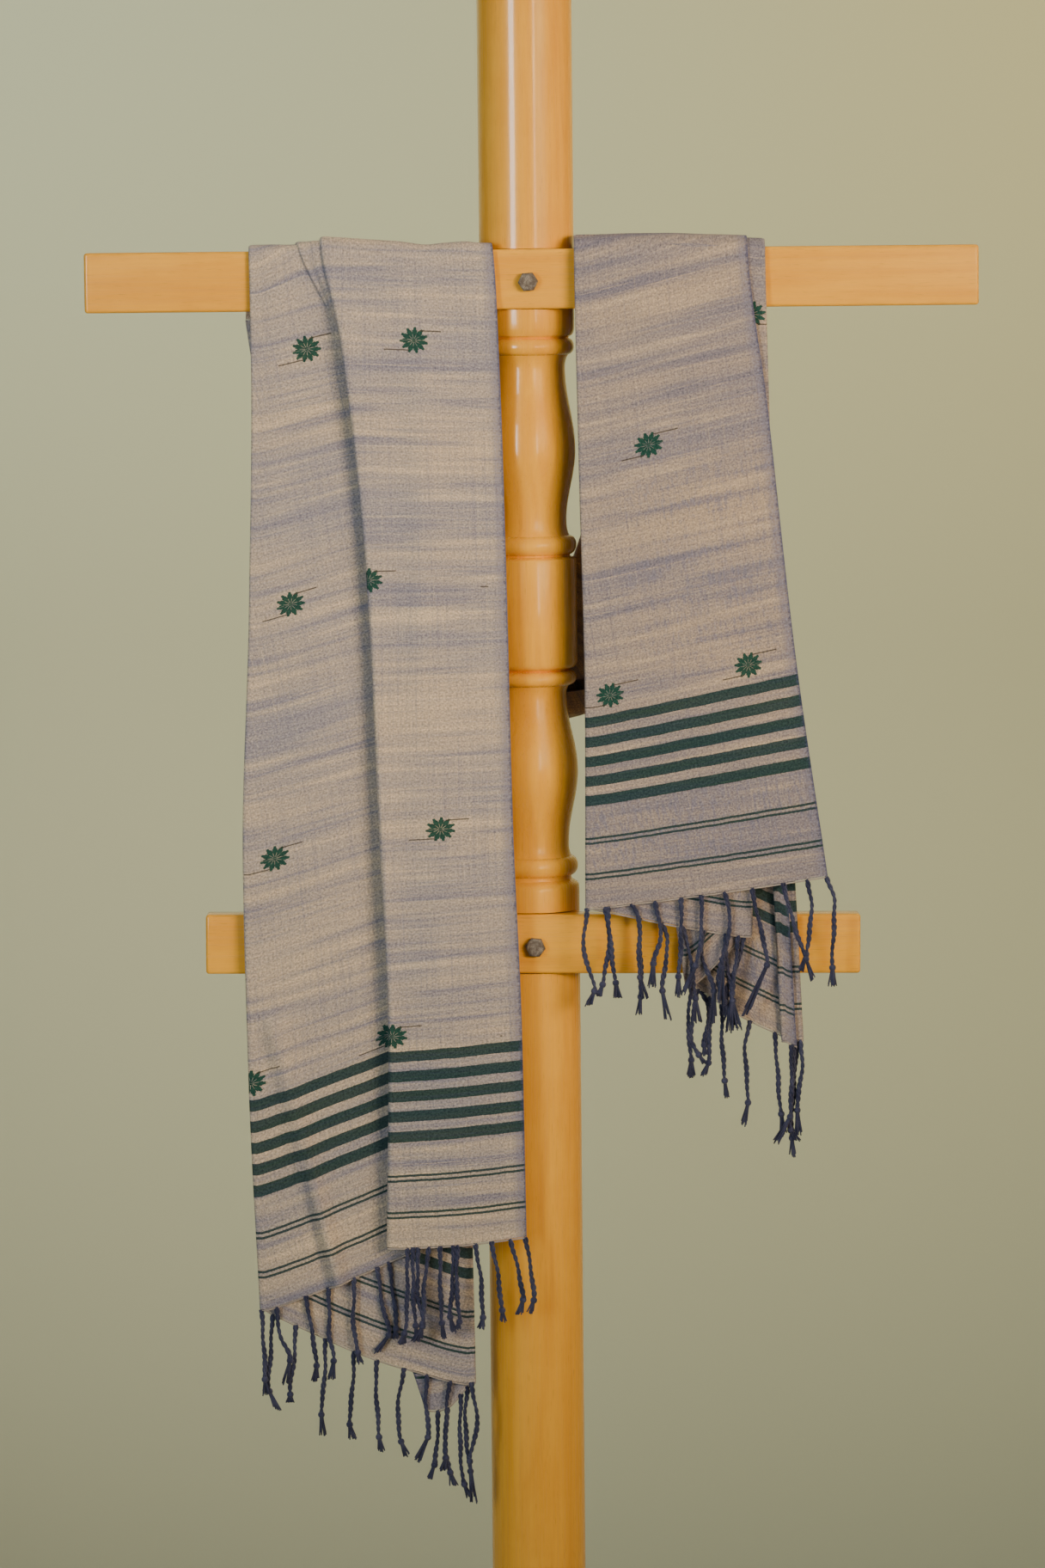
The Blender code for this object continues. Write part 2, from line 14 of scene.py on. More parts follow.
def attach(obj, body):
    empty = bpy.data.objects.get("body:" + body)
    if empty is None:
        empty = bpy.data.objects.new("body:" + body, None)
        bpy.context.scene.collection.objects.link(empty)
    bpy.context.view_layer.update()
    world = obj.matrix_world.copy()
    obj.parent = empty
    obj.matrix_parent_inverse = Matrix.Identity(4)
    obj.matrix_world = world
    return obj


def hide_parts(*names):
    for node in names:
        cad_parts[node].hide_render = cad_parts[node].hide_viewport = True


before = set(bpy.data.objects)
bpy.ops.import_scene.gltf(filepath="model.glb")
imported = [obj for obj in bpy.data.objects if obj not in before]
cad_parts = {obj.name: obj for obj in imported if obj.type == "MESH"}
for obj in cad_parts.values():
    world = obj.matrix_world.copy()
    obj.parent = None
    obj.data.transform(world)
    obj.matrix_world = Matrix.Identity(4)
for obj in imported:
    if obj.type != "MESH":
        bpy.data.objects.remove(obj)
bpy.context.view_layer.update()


# Room: a pale sheet swept up from the floor behind the stand, a warm light well round
# to the right, a cool window on the left, soft fill from above and behind, and the
# camera, turned by half a degree as the photograph is.
MILLIMETRE = 0.001
EYE = Vector((-0.0067, -4.538, 1.35))
TARGET = Vector((-0.0067, -0.038, 0.927))
SEEN_HEIGHT = 1.156
CAMERA_ROLL = math.radians(0.57)
SHEET_COLOUR = (0.44, 0.44, 0.31, 1.0)
ROOM_COLOUR = (0.80, 0.93, 1.0, 1.0)
ROOM_STRENGTH = 0.16
# Lamps: name, place, aim, width and height, watts, colour, spread in degrees, seen in varnish.
STAND = (0.0, -0.05, 1.22)
REAR = (0.0, 0.0, 1.05)
LAMPS = (
    ("right_lamp", (1.93, -2.62, 1.68), (0.05, -0.05, 1.24), (2.0, 0.9), 9.5, (1.0, 0.79, 0.54), 40, False),
    ("left_window", (-2.05, -3.3, 1.50), STAND, (0.80, 1.5), 5.9, (0.76, 0.91, 1.0), 52, True),
    ("right_glint", (1.45, -3.6, 1.40), (0.0, -0.05, 1.20), (0.34, 1.1), 0.9, (1.0, 0.90, 0.76), 60, True),
    ("backdrop_left", (-1.3, 0.45, 2.5), (-0.6, 2.0, 1.5), (1.6, 0.8), 9.0, (0.84, 1.0, 0.92), 76, False),
    ("backdrop_right", (1.3, 0.45, 2.5), (0.9, 2.0, 1.5), (1.6, 0.8), 10.5, (1.0, 0.73, 0.24), 76, False),
    ("back_window", (-1.5, 1.75, 1.9), REAR, (1.0, 1.6), 5.0, (0.86, 0.95, 1.0), 100, False),
    ("back_lamp", (1.7, 1.7, 2.0), REAR, (1.0, 1.4), 5.0, (1.0, 0.90, 0.76), 100, False),
    ("ceiling", (0.0, -1.2, 4.6), (0.0, -1.0, 0.0), (3.6, 3.6), 20.0, (0.97, 1.0, 0.98), 150, False),
)


def add_object(name, data):
    made = bpy.data.objects.new(name, data)
    bpy.context.scene.collection.objects.link(made)
    return made


def even_steps(count):
    """count numbers from 0 to 1, evenly spaced."""
    return np.linspace(0.0, 1.0, count)


def join(*parts):
    """Coordinates side by side in one array, each spread to the common shape."""
    return np.stack(np.broadcast_arrays(*parts), axis=-1)


def unit(vectors):
    return vectors / np.maximum(np.linalg.norm(vectors, axis=-1, keepdims=True), 1e-9)


def grid_faces(rows, columns, wrap=False):
    """Four-sided faces of a grid numbered row by row; wrap joins the last column to the first."""
    across = columns if wrap else columns - 1
    row, column = np.meshgrid(np.arange(rows - 1), np.arange(across), indexing="ij")
    after = (column + 1) % columns
    a = row * columns + column
    b = row * columns + after
    return np.stack([a, b, b + columns, a + columns], axis=-1).reshape(-1, 4)


def make_mesh(name, points, faces, crease=None):
    """A smooth mesh from millimetre points; edges sharper than crease degrees stay sharp."""
    mesh = bpy.data.meshes.new(name)
    mesh.from_pydata((np.asarray(points, float) * MILLIMETRE).tolist(), [], faces)
    mesh.shade_smooth()
    if crease is not None:
        mesh.set_sharp_from_angle(angle=math.radians(crease))
    return mesh


def build_camera():
    """The camera looks from EYE to TARGET, its right and up turned about that line by the roll."""
    ahead = (TARGET - EYE).normalized()
    right = ahead.cross(Vector((0.0, 0.0, 1.0))).normalized()
    up = right.cross(ahead)
    turned_right = right * math.cos(CAMERA_ROLL) - up * math.sin(CAMERA_ROLL)
    turned_up = right * math.sin(CAMERA_ROLL) + up * math.cos(CAMERA_ROLL)
    camera = add_object("camera", bpy.data.cameras.new("camera"))
    turn = Matrix((turned_right, turned_up, -ahead)).transposed().to_4x4()
    camera.matrix_world = Matrix.Translation(EYE) @ turn
    camera.data.sensor_width = 36.0
    camera.data.lens = 36.0 * (TARGET - EYE).length / SEEN_HEIGHT
    camera.data.clip_end = 50.0
    bpy.context.scene.camera = camera


def build_sheet():
    """Floor and backdrop in one: level, a quarter circle, then straight up; clear from behind."""
    turn = np.linspace(0.0, math.pi / 2, 24)
    radius = 900.0
    back = 1100.0
    y = np.concatenate([[-7000.0], back + radius * np.sin(turn), [back + radius]])
    z = np.concatenate([[0.0], radius * (1 - np.cos(turn)), [5000.0]])
    x = np.array([-7000.0, 7000.0])
    points = join(x[None, :], y[:, None], z[:, None])
    mesh = make_mesh("floor_sheet", points.reshape(-1, 3), grid_faces(len(y), 2).tolist())
    sheet = add_object("floor_sheet", mesh)
    paint = bpy.data.materials.new("matt_paper")
    paint.use_nodes = True
    shader = paint.node_tree.nodes["Principled BSDF"]
    shader.inputs["Base Color"].default_value = SHEET_COLOUR
    shader.inputs["Roughness"].default_value = 0.95
    side = paint.node_tree.nodes.new("ShaderNodeNewGeometry")
    front = paint.node_tree.nodes.new("ShaderNodeMath")
    front.operation = "SUBTRACT"
    front.inputs[0].default_value = 1.0
    paint.node_tree.links.new(side.outputs["Backfacing"], front.inputs[1])
    paint.node_tree.links.new(front.outputs[0], shader.inputs["Alpha"])
    sheet.data.materials.append(paint)


def soft_light(name, place, aim, size, power, colour, spread, shine):
    """A lamp of size (width, height) in metres, spread in degrees; shine: varnish mirrors it."""
    lamp = bpy.data.lights.new(name, "AREA")
    lamp.shape = "RECTANGLE"
    lamp.size = size[0]
    lamp.size_y = size[1]
    lamp.energy = power
    lamp.color = colour
    lamp.spread = math.radians(spread)
    made = add_object(name, lamp)
    made.location = place
    made.rotation_euler = (Vector(aim) - Vector(place)).to_track_quat("-Z", "Y").to_euler()
    made.visible_glossy = shine
    made.visible_camera = False


build_camera()
build_sheet()
for lamp_settings in LAMPS:
    soft_light(*lamp_settings)
world = bpy.data.worlds.new("soft_room")
world.use_nodes = True
world.node_tree.nodes["Background"].inputs["Color"].default_value = ROOM_COLOUR
world.node_tree.nodes["Background"].inputs["Strength"].default_value = ROOM_STRENGTH
bpy.context.scene.world = world


# Post: pale hardwood turned on a lathe with beads and two long swells, notched for the
# two arms, stained honey colour and varnished. The base bars keep their CAD shape and
# take the same timber.
POST_RADIUS = 35.0
POST_SIDES = 112
POST_FOOT = 40.3
NOTCH_BACK = -13.7
NOTCHES = ((1275.7, 1320.3), (785.35, 830.65))
HONEY = (0.98, 0.46, 0.038, 1.0)
AMBER = (0.80, 0.32, 0.020, 1.0)
UMBER = (0.28, 0.095, 0.012, 1.0)


def feed(socket, value):
    """Link a socket, or set a number or colour."""
    if isinstance(value, bpy.types.NodeSocket):
        value.id_data.links.new(value, socket)
    else:
        socket.default_value = value


def new_node(kind, *values):
    """A node of that kind in the tree of the first value that is a socket."""
    sockets = [value for value in values if isinstance(value, bpy.types.NodeSocket)]
    return sockets[0].id_data.nodes.new(kind)


def calc(operation, *values):
    """A Math node of that operation; values are numbers or sockets."""
    node = new_node("ShaderNodeMath", *values)
    node.operation = operation
    for socket, value in zip(node.inputs, values):
        feed(socket, value)
    return node.outputs[0]


def times(first, second):
    return calc("MULTIPLY", first, second)


def plus(first, second):
    return calc("ADD", first, second)


def minus(first, second):
    return calc("SUBTRACT", first, second)


def scaled(vector, scale, shift=(0.0, 0.0, 0.0)):
    """vector times scale plus shift."""
    node = new_node("ShaderNodeVectorMath", vector)
    node.operation = "MULTIPLY_ADD"
    for socket, value in zip(node.inputs, (vector, scale, shift)):
        feed(socket, value)
    return node.outputs[0]


def cloud(vector, detail=2.0, roughness=0.5, distortion=0.0):
    """Noise between 0 and 1 with features about one unit of vector long."""
    node = new_node("ShaderNodeTexNoise", vector)
    kinds = ("Scale", "Detail", "Roughness", "Distortion", "Vector")
    for name, value in zip(kinds, (1.0, detail, roughness, distortion, vector)):
        feed(node.inputs[name], value)
    return node.outputs[0]


def between(value, low, high, start=0.0, end=1.0):
    """value carried from the range low..high to start..end, clamped."""
    node = new_node("ShaderNodeMapRange", value)
    node.clamp = True
    labels = ("Value", "From Min", "From Max", "To Min", "To Max")
    for label, number in zip(labels, (value, low, high, start, end)):
        feed(node.inputs[label], number)
    return node.outputs[0]


def blend(share, first, second, way="MIX"):
    """Two colours mixed by share; each is a socket or four numbers."""
    node = new_node("ShaderNodeMix", share, first, second)
    node.data_type = "RGBA"
    node.blend_type = way
    for number, value in ((0, share), (6, first), (7, second)):
        feed(node.inputs[number], value)
    return node.outputs[2]


def new_group(name, inputs):
    """An empty shader node group for colour, roughness and height; inputs are (name, kind) pairs."""
    tree = bpy.data.node_groups.new(name, "ShaderNodeTree")
    for label, kind in inputs:
        tree.interface.new_socket(name=label, in_out="INPUT", socket_type="NodeSocket" + kind)
    for label, kind in (("Color", "Color"), ("Roughness", "Float"), ("Height", "Float")):
        tree.interface.new_socket(name=label, in_out="OUTPUT", socket_type="NodeSocket" + kind)
    return tree.nodes.new("NodeGroupInput").outputs, tree.nodes.new("NodeGroupOutput").inputs


def give(made, colour, roughness, height):
    """Link the three outputs of a group and return the group."""
    for name, value in (("Color", colour), ("Roughness", roughness), ("Height", height)):
        feed(made[name], value)
    return made["Color"].id_data


def timber_group():
    """Honey timber: long fibres, broad figure, short dark pores; grain along Z of the input, in mm."""
    given, made = new_group("timber", (("Place", "Vector"),))
    place = given["Place"]
    fibres = cloud(scaled(place, (0.55, 0.55, 0.012)), 4.0, 0.6)
    figure = cloud(scaled(place, (0.05, 0.05, 0.0035)), 3.0, 0.55, 1.2)
    mottle = cloud(scaled(place, (0.02, 0.02, 0.03)), 2.0, 0.5)
    pores = cloud(scaled(place, (2.2, 2.2, 0.09)), 1.0, 0.5)
    dark = between(fibres, 0.35, 0.68, 0.0, 0.45)
    dark = plus(dark, between(figure, 0.42, 0.72, 0.0, 0.6))
    colour = blend(calc("MINIMUM", dark, 1.0), HONEY, AMBER)
    colour = blend(between(mottle, 0.45, 0.75, 0.0, 0.35), colour, AMBER)
    colour = blend(between(pores, 0.66, 0.76, 0.0, 0.3), colour, UMBER)
    roughness = between(fibres, 0.3, 0.7, 0.2, 0.32)
    return give(made, colour, roughness, plus(times(fibres, 0.5), times(pores, -0.3)))


TIMBER = timber_group()


def place_in_mm(tree):
    where = tree.nodes.new("ShaderNodeTexCoord")
    return scaled(where.outputs["Object"], (1000.0, 1000.0, 1000.0))


def finish_shader(name, group, vector_source, bump, bump_depth, settings):
    """A material that takes colour, roughness and bump from a placed group, and plain settings."""
    made = bpy.data.materials.new(name)
    made.use_nodes = True
    tree = made.node_tree
    shader = tree.nodes["Principled BSDF"]
    placed = tree.nodes.new("ShaderNodeGroup")
    placed.node_tree = group
    feed(placed.inputs[0], vector_source(tree))
    node = tree.nodes.new("ShaderNodeBump")
    node.inputs["Strength"].default_value = bump
    node.inputs["Distance"].default_value = bump_depth * MILLIMETRE
    feed(node.inputs["Height"], placed.outputs["Height"])
    links = {"Base Color": placed.outputs["Color"], "Roughness": placed.outputs["Roughness"]}
    for label, value in {**links, "Normal": node.outputs["Normal"], **settings}.items():
        feed(shader.inputs[label], value)
    return made, placed


def timber_material(name, turn, shift=(0.0, 0.0, 0.0)):
    """Varnished timber; turn is how the piece's place is turned so that its grain runs along Z."""

    def grain_place(tree):
        where = tree.nodes.new("ShaderNodeTexCoord")
        turned = tree.nodes.new("ShaderNodeMapping")
        turned.inputs["Rotation"].default_value = turn
        turned.inputs["Scale"].default_value = (1000.0, 1000.0, 1000.0)
        turned.inputs["Location"].default_value = shift
        feed(turned.inputs["Vector"], where.outputs["Object"])
        return turned.outputs["Vector"]

    varnish = {"Specular IOR Level": 0.3, "Coat Weight": 0.5, "Coat Roughness": 0.06}
    return finish_shader(name, TIMBER, grain_place, 0.25, 0.25, varnish)[0]


def half_bead(centre, half, radius, root):
    """A turned bead: r = root + (radius - root) cos(a), z = centre + half sin(a)."""
    turns = np.radians(np.linspace(-90, 90, 15))
    return list(zip(centre + half * np.sin(turns), root + (radius - root) * np.cos(turns)))


def long_swell(low, belly, high):
    """Radius from neck to belly to neck, each half a cosine wave; each of the three is (z, r)."""
    shape = []
    for start, end in ((low, belly), (belly, high)):
        share = even_steps(19)[:-1]
        ease = (1 - np.cos(math.pi * share)) / 2
        shape += list(zip(start[0] + (end[0] - start[0]) * share, start[1] + (end[1] - start[1]) * ease))
    return [*shape, high]


def close_ends(faces, count, columns):
    """Add the flat faces that close the first and last ring of a grid of count points."""
    faces.append(list(reversed(range(columns))))
    faces.append(list(range(count - columns, count)))
    return faces


def post_profile():
    """(height, radius) pairs from foot to top, with quarter-round shoulders at each plain length."""
    full = POST_RADIUS
    profile = [(POST_FOOT, 33.2), (POST_FOOT + 0.8, 34.4), (POST_FOOT + 1.8, full)]
    profile += [(420.0, full), (780.0, full)]
    profile += [(846.0, full), (848.6, 34.7), (850.5, 33.6), (851.6, 31.8), (853.0, 29.6), (854.8, 29.2)]
    profile += half_bead(863.0, 7.0, 34.1, 29.4)
    profile += [(871.6, 28.6), (874.5, 27.9), (877.5, 27.6)]
    profile += long_swell((881.0, 27.6), (934.0, 34.8), (990.0, 26.7))
    profile += [(993.5, 26.9), (995.8, 27.8)]
    profile += half_bead(1003.0, 5.5, 34.3, 28.6)
    profile += [(1009.6, 29.6), (1010.2, 31.6), (1011.4, 33.6)]
    profile += [(1014.0, full), (1050.0, full), (1089.6, full)]
    profile += [(1091.6, 34.4), (1092.8, 32.6), (1093.4, 30.4)]
    profile += half_bead(1101.5, 7.0, full, 30.0)
    profile += [(1110.0, 29.2), (1113.0, 28.4), (1116.5, 28.0)]
    profile += long_swell((1120.0, 28.0), (1172.0, full), (1232.0, 27.8))
    profile += [(1236.0, 28.0), (1239.4, 29.0)]
    profile += half_bead(1248.0, 6.0, 34.6, 30.4)
    profile += [(1255.2, 31.2), (1256.2, 33.2), (1258.4, 34.5), (1262.0, full), (1440.0, full)]
    turns = np.radians(np.linspace(0, 84, 12))
    profile += list(zip(1600.0 + 20.0 * np.sin(turns), 15.0 + 20.0 * np.cos(turns)))
    return np.array(profile)


def build_post():
    """A surface of revolution, x = r cos(a), y = r sin(a); inside a notch y stops at the notch's back."""
    profile = post_profile()
    inside = np.zeros(len(profile), bool)
    for low, high in NOTCHES:
        radius = np.interp([low, low, high, high], profile[:, 0], profile[:, 1])
        extra = np.stack([[low, low + 0.15, high - 0.15, high], radius], axis=-1)
        keep = (profile[:, 0] < low) | (profile[:, 0] > high)
        profile = np.concatenate([profile[keep], extra])
        inside = np.concatenate([inside[keep], [False, True, True, False]])
        order = np.argsort(profile[:, 0])
        profile = profile[order]
        inside = inside[order]
    turn = 2 * math.pi * np.arange(POST_SIDES) / POST_SIDES
    x = profile[:, 1][:, None] * np.cos(turn)
    y = profile[:, 1][:, None] * np.sin(turn)
    y = np.where(inside[:, None], np.maximum(y, NOTCH_BACK), y)
    points = join(x, y, profile[:, 0][:, None]).reshape(-1, 3)
    faces = close_ends(grid_faces(len(profile), POST_SIDES, wrap=True).tolist(), len(points), POST_SIDES)
    post = add_object("turned_post", make_mesh("turned_post", points, faces, 32.0))
    post.data.materials.append(timber_material("varnished_post", (0.0, 0.0, 0.0)))
    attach(post, "root")
    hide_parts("post")


build_post()
BARS = (("base_bar_along", (0.0, math.pi / 2, 0.0)), ("base_bar_across", (math.pi / 2, 0.0, 0.0)))
for node, turn in BARS:
    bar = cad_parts[node]
    bar.data.materials.clear()
    bar.data.materials.append(timber_material("varnished_" + node, turn))


# Arms: two flat bars of the same timber, planed, their long edges rubbed round before
# varnishing, each let into a notch of the post and held by one bolt.
ARM_FRONT = -38.0
ARM_BACK = -14.0
ARM_EDGE = 2.4
UPPER_ARM = (-324.0, 331.0, 1276.0, 1320.0)
LOWER_ARM = (-242.0, 242.0, 786.0, 830.0)
LOWER_ARM_TILT = math.radians(0.48)
LOWER_BOLT_PLACE = (1.6, 806.0)


def rounded_section(half_deep, half_high, radius, steps):
    """Corner by corner round a rectangle whose corners are quarter circles."""
    turn = np.linspace(0.0, math.pi / 2, steps)
    ring = []
    for corner, (side, rise) in enumerate(((1, 1), (-1, 1), (-1, -1), (1, -1))):
        angle = turn + corner * math.pi / 2
        deep = side * (half_deep - radius) + radius * np.cos(angle)
        high = rise * (half_high - radius) + radius * np.sin(angle)
        ring.append(join(deep, high))
    return np.concatenate(ring)


def build_arm(name, node, size, tilt=0.0, pivot=(0.0, 0.0)):
    """A rounded rectangle carried along X; each end shrinks by a quarter circle of the edge radius."""
    left, right, low, high = size
    half_deep = (ARM_BACK - ARM_FRONT) / 2
    half_high = (high - low) / 2
    ease = np.linspace(0.0, math.pi / 2, 6)
    inset = ARM_EDGE * (1 - np.sin(ease))
    rounding = ARM_EDGE * (1 - np.cos(ease))
    along = np.concatenate([left + rounding, right - rounding[::-1]])
    inset = np.concatenate([inset, inset[::-1]])
    rings = []
    for x, shrink in zip(along, inset):
        radius = max(ARM_EDGE - shrink, 0.05)
        section = rounded_section(half_deep - shrink, half_high - shrink, radius, 7)
        y = (ARM_FRONT + ARM_BACK) / 2 + section[:, 0]
        z = (low + high) / 2 + section[:, 1]
        rings.append(join(x, y, z))
    rings = np.array(rings)
    away = rings - np.array([pivot[0], 0.0, pivot[1]])
    turned = away.copy()
    turned[..., 0] = away[..., 0] * math.cos(tilt) + away[..., 2] * math.sin(tilt)
    turned[..., 2] = -away[..., 0] * math.sin(tilt) + away[..., 2] * math.cos(tilt)
    points = (turned + np.array([pivot[0], 0.0, pivot[1]])).reshape(-1, 3)
    columns = rings.shape[1]
    faces = close_ends(grid_faces(len(rings), columns, wrap=True).tolist(), len(points), columns)
    arm = add_object(name, make_mesh(name, points, faces, 40.0))
    along_x = (0.0, math.pi / 2, 0.0)
    arm.data.materials.append(timber_material("varnished_" + name, along_x, (310.0, 90.0, 40.0)))
    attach(arm, "root")
    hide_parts(node)


build_arm("planed_upper_arm", "upper_arm", UPPER_ARM)
build_arm("planed_lower_arm", "lower_arm", LOWER_ARM, LOWER_ARM_TILT, LOWER_BOLT_PLACE)


# Bolts: forged steel hexagon heads, 13 mm across the flats, dull and pitted with age,
# one through the middle of each arm into the post.
BOLTS = (("upper_bolt", 1.0, 1296.0, 4.0), ("lower_bolt", 1.6, 806.0, -7.0))
BOLT_FLATS = 13.0
BOLT_HEIGHT = 5.5
BOLT_POINTS = 96
DULL_STEEL = (0.17, 0.125, 0.09, 1.0)
BARE_STEEL = (0.36, 0.29, 0.22, 1.0)
SCALE_BROWN = (0.06, 0.036, 0.022, 1.0)


def worn_steel():
    """Dull steel with barer patches and brown pits."""
    given, made = new_group("worn_steel", (("Place", "Vector"),))
    place = given["Place"]
    patches = cloud(scaled(place, (0.35, 0.35, 0.35)), 4.0, 0.65)
    pits = cloud(scaled(place, (1.6, 1.6, 1.6)), 3.0, 0.6)
    colour = blend(between(patches, 0.42, 0.62), DULL_STEEL, BARE_STEEL)
    colour = blend(between(pits, 0.52, 0.66, 0.0, 0.85), colour, SCALE_BROWN)
    roughness = between(patches, 0.35, 0.65, 0.62, 0.42)
    group = give(made, colour, roughness, minus(patches, times(pits, 0.6)))
    return finish_shader("worn_steel", group, place_in_mm, 0.8, 0.35, {"Metallic": 0.5})[0]


STEEL = worn_steel()


def build_bolt(node, x, z, twist):
    """Rings round the head: a hexagon r = flat / cos(a), its rim taken off by a 30 degree cone."""
    turn = 2 * math.pi * np.arange(BOLT_POINTS) / BOLT_POINTS
    away = np.mod(turn, math.pi / 3) - math.pi / 6
    hexagon = BOLT_FLATS / 2 / np.cos(away)
    cone = np.maximum(hexagon - 6.1, 0.0) * math.tan(math.radians(30))
    flat = ARM_FRONT - 0.3
    shape = (
        (hexagon - 0.25, 0.0),
        (hexagon, 0.3),
        (hexagon, BOLT_HEIGHT - cone - 0.25),
        (hexagon - 0.25, BOLT_HEIGHT - cone),
        (6.0, BOLT_HEIGHT - 0.05),
        (5.6, BOLT_HEIGHT),
        (2.6, BOLT_HEIGHT - 0.15),
    )
    lean = turn + math.radians(90 + 30 + twist)
    rings = [join(x + r * np.cos(lean), flat - h, z + r * np.sin(lean)) for r, h in shape]
    points = np.concatenate([*rings, [[x, flat - BOLT_HEIGHT + 0.2, z]]])
    faces = grid_faces(len(rings), BOLT_POINTS, wrap=True).tolist()
    faces.append(list(reversed(range(BOLT_POINTS))))
    last = (len(rings) - 1) * BOLT_POINTS
    tip = len(points) - 1
    faces += [[last + k, last + (k + 1) % BOLT_POINTS, tip] for k in range(BOLT_POINTS)]
    bolt = add_object("hexagon_" + node, make_mesh("hexagon_" + node, points, faces, 28.0))
    bolt.data.materials.append(STEEL)
    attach(bolt, "root")
    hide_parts(node)


for bolt_head in BOLTS:
    build_bolt(*bolt_head)


# Falls of the stole: one cloth of fine handloom weave, 525 mm wide, folded lengthwise
# in uneven layers and laid over the upper arm, long in front on the left and shorter
# on the right. Weft lines run across it, with bands and flower heads woven in green.
CLOTH_WIDTH = 525.0
CLOTH_LENGTH = 2030.0
CLOTH_THICK = 0.8
SWAG_START = 838.0
FLAT_HALF = 10.0
CORNER_RADIUS = 2.0
CORNER_RUN = 11.0
CROWN_START = FLAT_HALF + CORNER_RUN
FOLD_ROUNDING = 6.0
BOW_FADE = 150.0
EVEN_ROWS = 672.0

# Each line of a fall is an edge or a fold. Columns: distance up the cloth from its hem,
# reach down from the arm's top, x, height over the arm of the layer arriving and leaving.
LEFT_LINES = (
    (
        (0, 746, -7, 19.7, 19.7), (155, 588, -9, 19.6, 19.6), (310, 440, -14, 18.8, 18.8),
        (497, 258, -17, 16.0, 16.0), (672, 91, -21, 7.5, 7.5), (754, 0, -27, 4.2, 4.2),
        (764, -10, -35, 4.4, 4.4), (774, -21, -36.5, 5.4, 5.4), (816, -69, -38, 8.4, 8.4),
    ),
    (
        (0, 752, -110, 27.6, 20.6), (155, 595, -107, 28.4, 21.4), (310, 444, -112, 27.8, 21.0),
        (497, 259, -119, 25.6, 19.6), (672, 86, -136, 22.0, 15.5), (752, 0, -151, 9.8, 7.0),
        (814, -69, -144, 10.6, 9.4),
    ),
    (
        (0, 748, -65, 15.6, 11.7), (155, 580, -59, 15.6, 11.7), (310, 433, -72, 15.4, 11.5),
        (497, 256, -99, 15.0, 11.2), (672, 89, -133, 9.5, 7.0), (754, 0, -169, 6.4, 4.2),
        (816, -69, -164, 9.2, 8.2),
    ),
    (
        (0, 800, -205, 11.7, 7.8), (155, 631, -211, 11.7, 7.8), (310, 469, -213, 11.2, 7.4),
        (497, 284, -206, 10.0, 6.8), (672, 102, -202, 6.8, 4.6), (767, 0, -203, 4.2, 2.6),
        (829, -69, -207, 7.8, 5.4),
    ),
    (
        (0, 857, -46, 7.8, 3.9), (155, 697, -48, 7.8, 3.9), (310, 514, -49, 7.4, 3.8),
        (497, 306, -44, 6.6, 3.4), (672, 107, -38, 4.2, 2.2), (774, 0, -40, 2.6, 1.0),
        (836, -69, -42, 5.2, 2.6),
    ),
    (
        (0, 878, -84, 3.9, 3.9), (155, 706, -130, 3.9, 3.9), (310, 520, -128, 3.4, 3.4),
        (497, 311, -150, 3.2, 3.2), (672, 112, -178, 1.8, 1.8), (778, 0, -180, 1.0, 1.0),
        (840, -69, -182, 1.8, 1.8),
    ),
)
LEFT_BOWS = ((4.0, -1.6), (1.5, 0.0), (1.5, 0.0), (0.5, 0.0), (0.0, 0.0))
LEFT_DROOPS = (1.5, 0.0, 2.0, 8.0, 8.0)
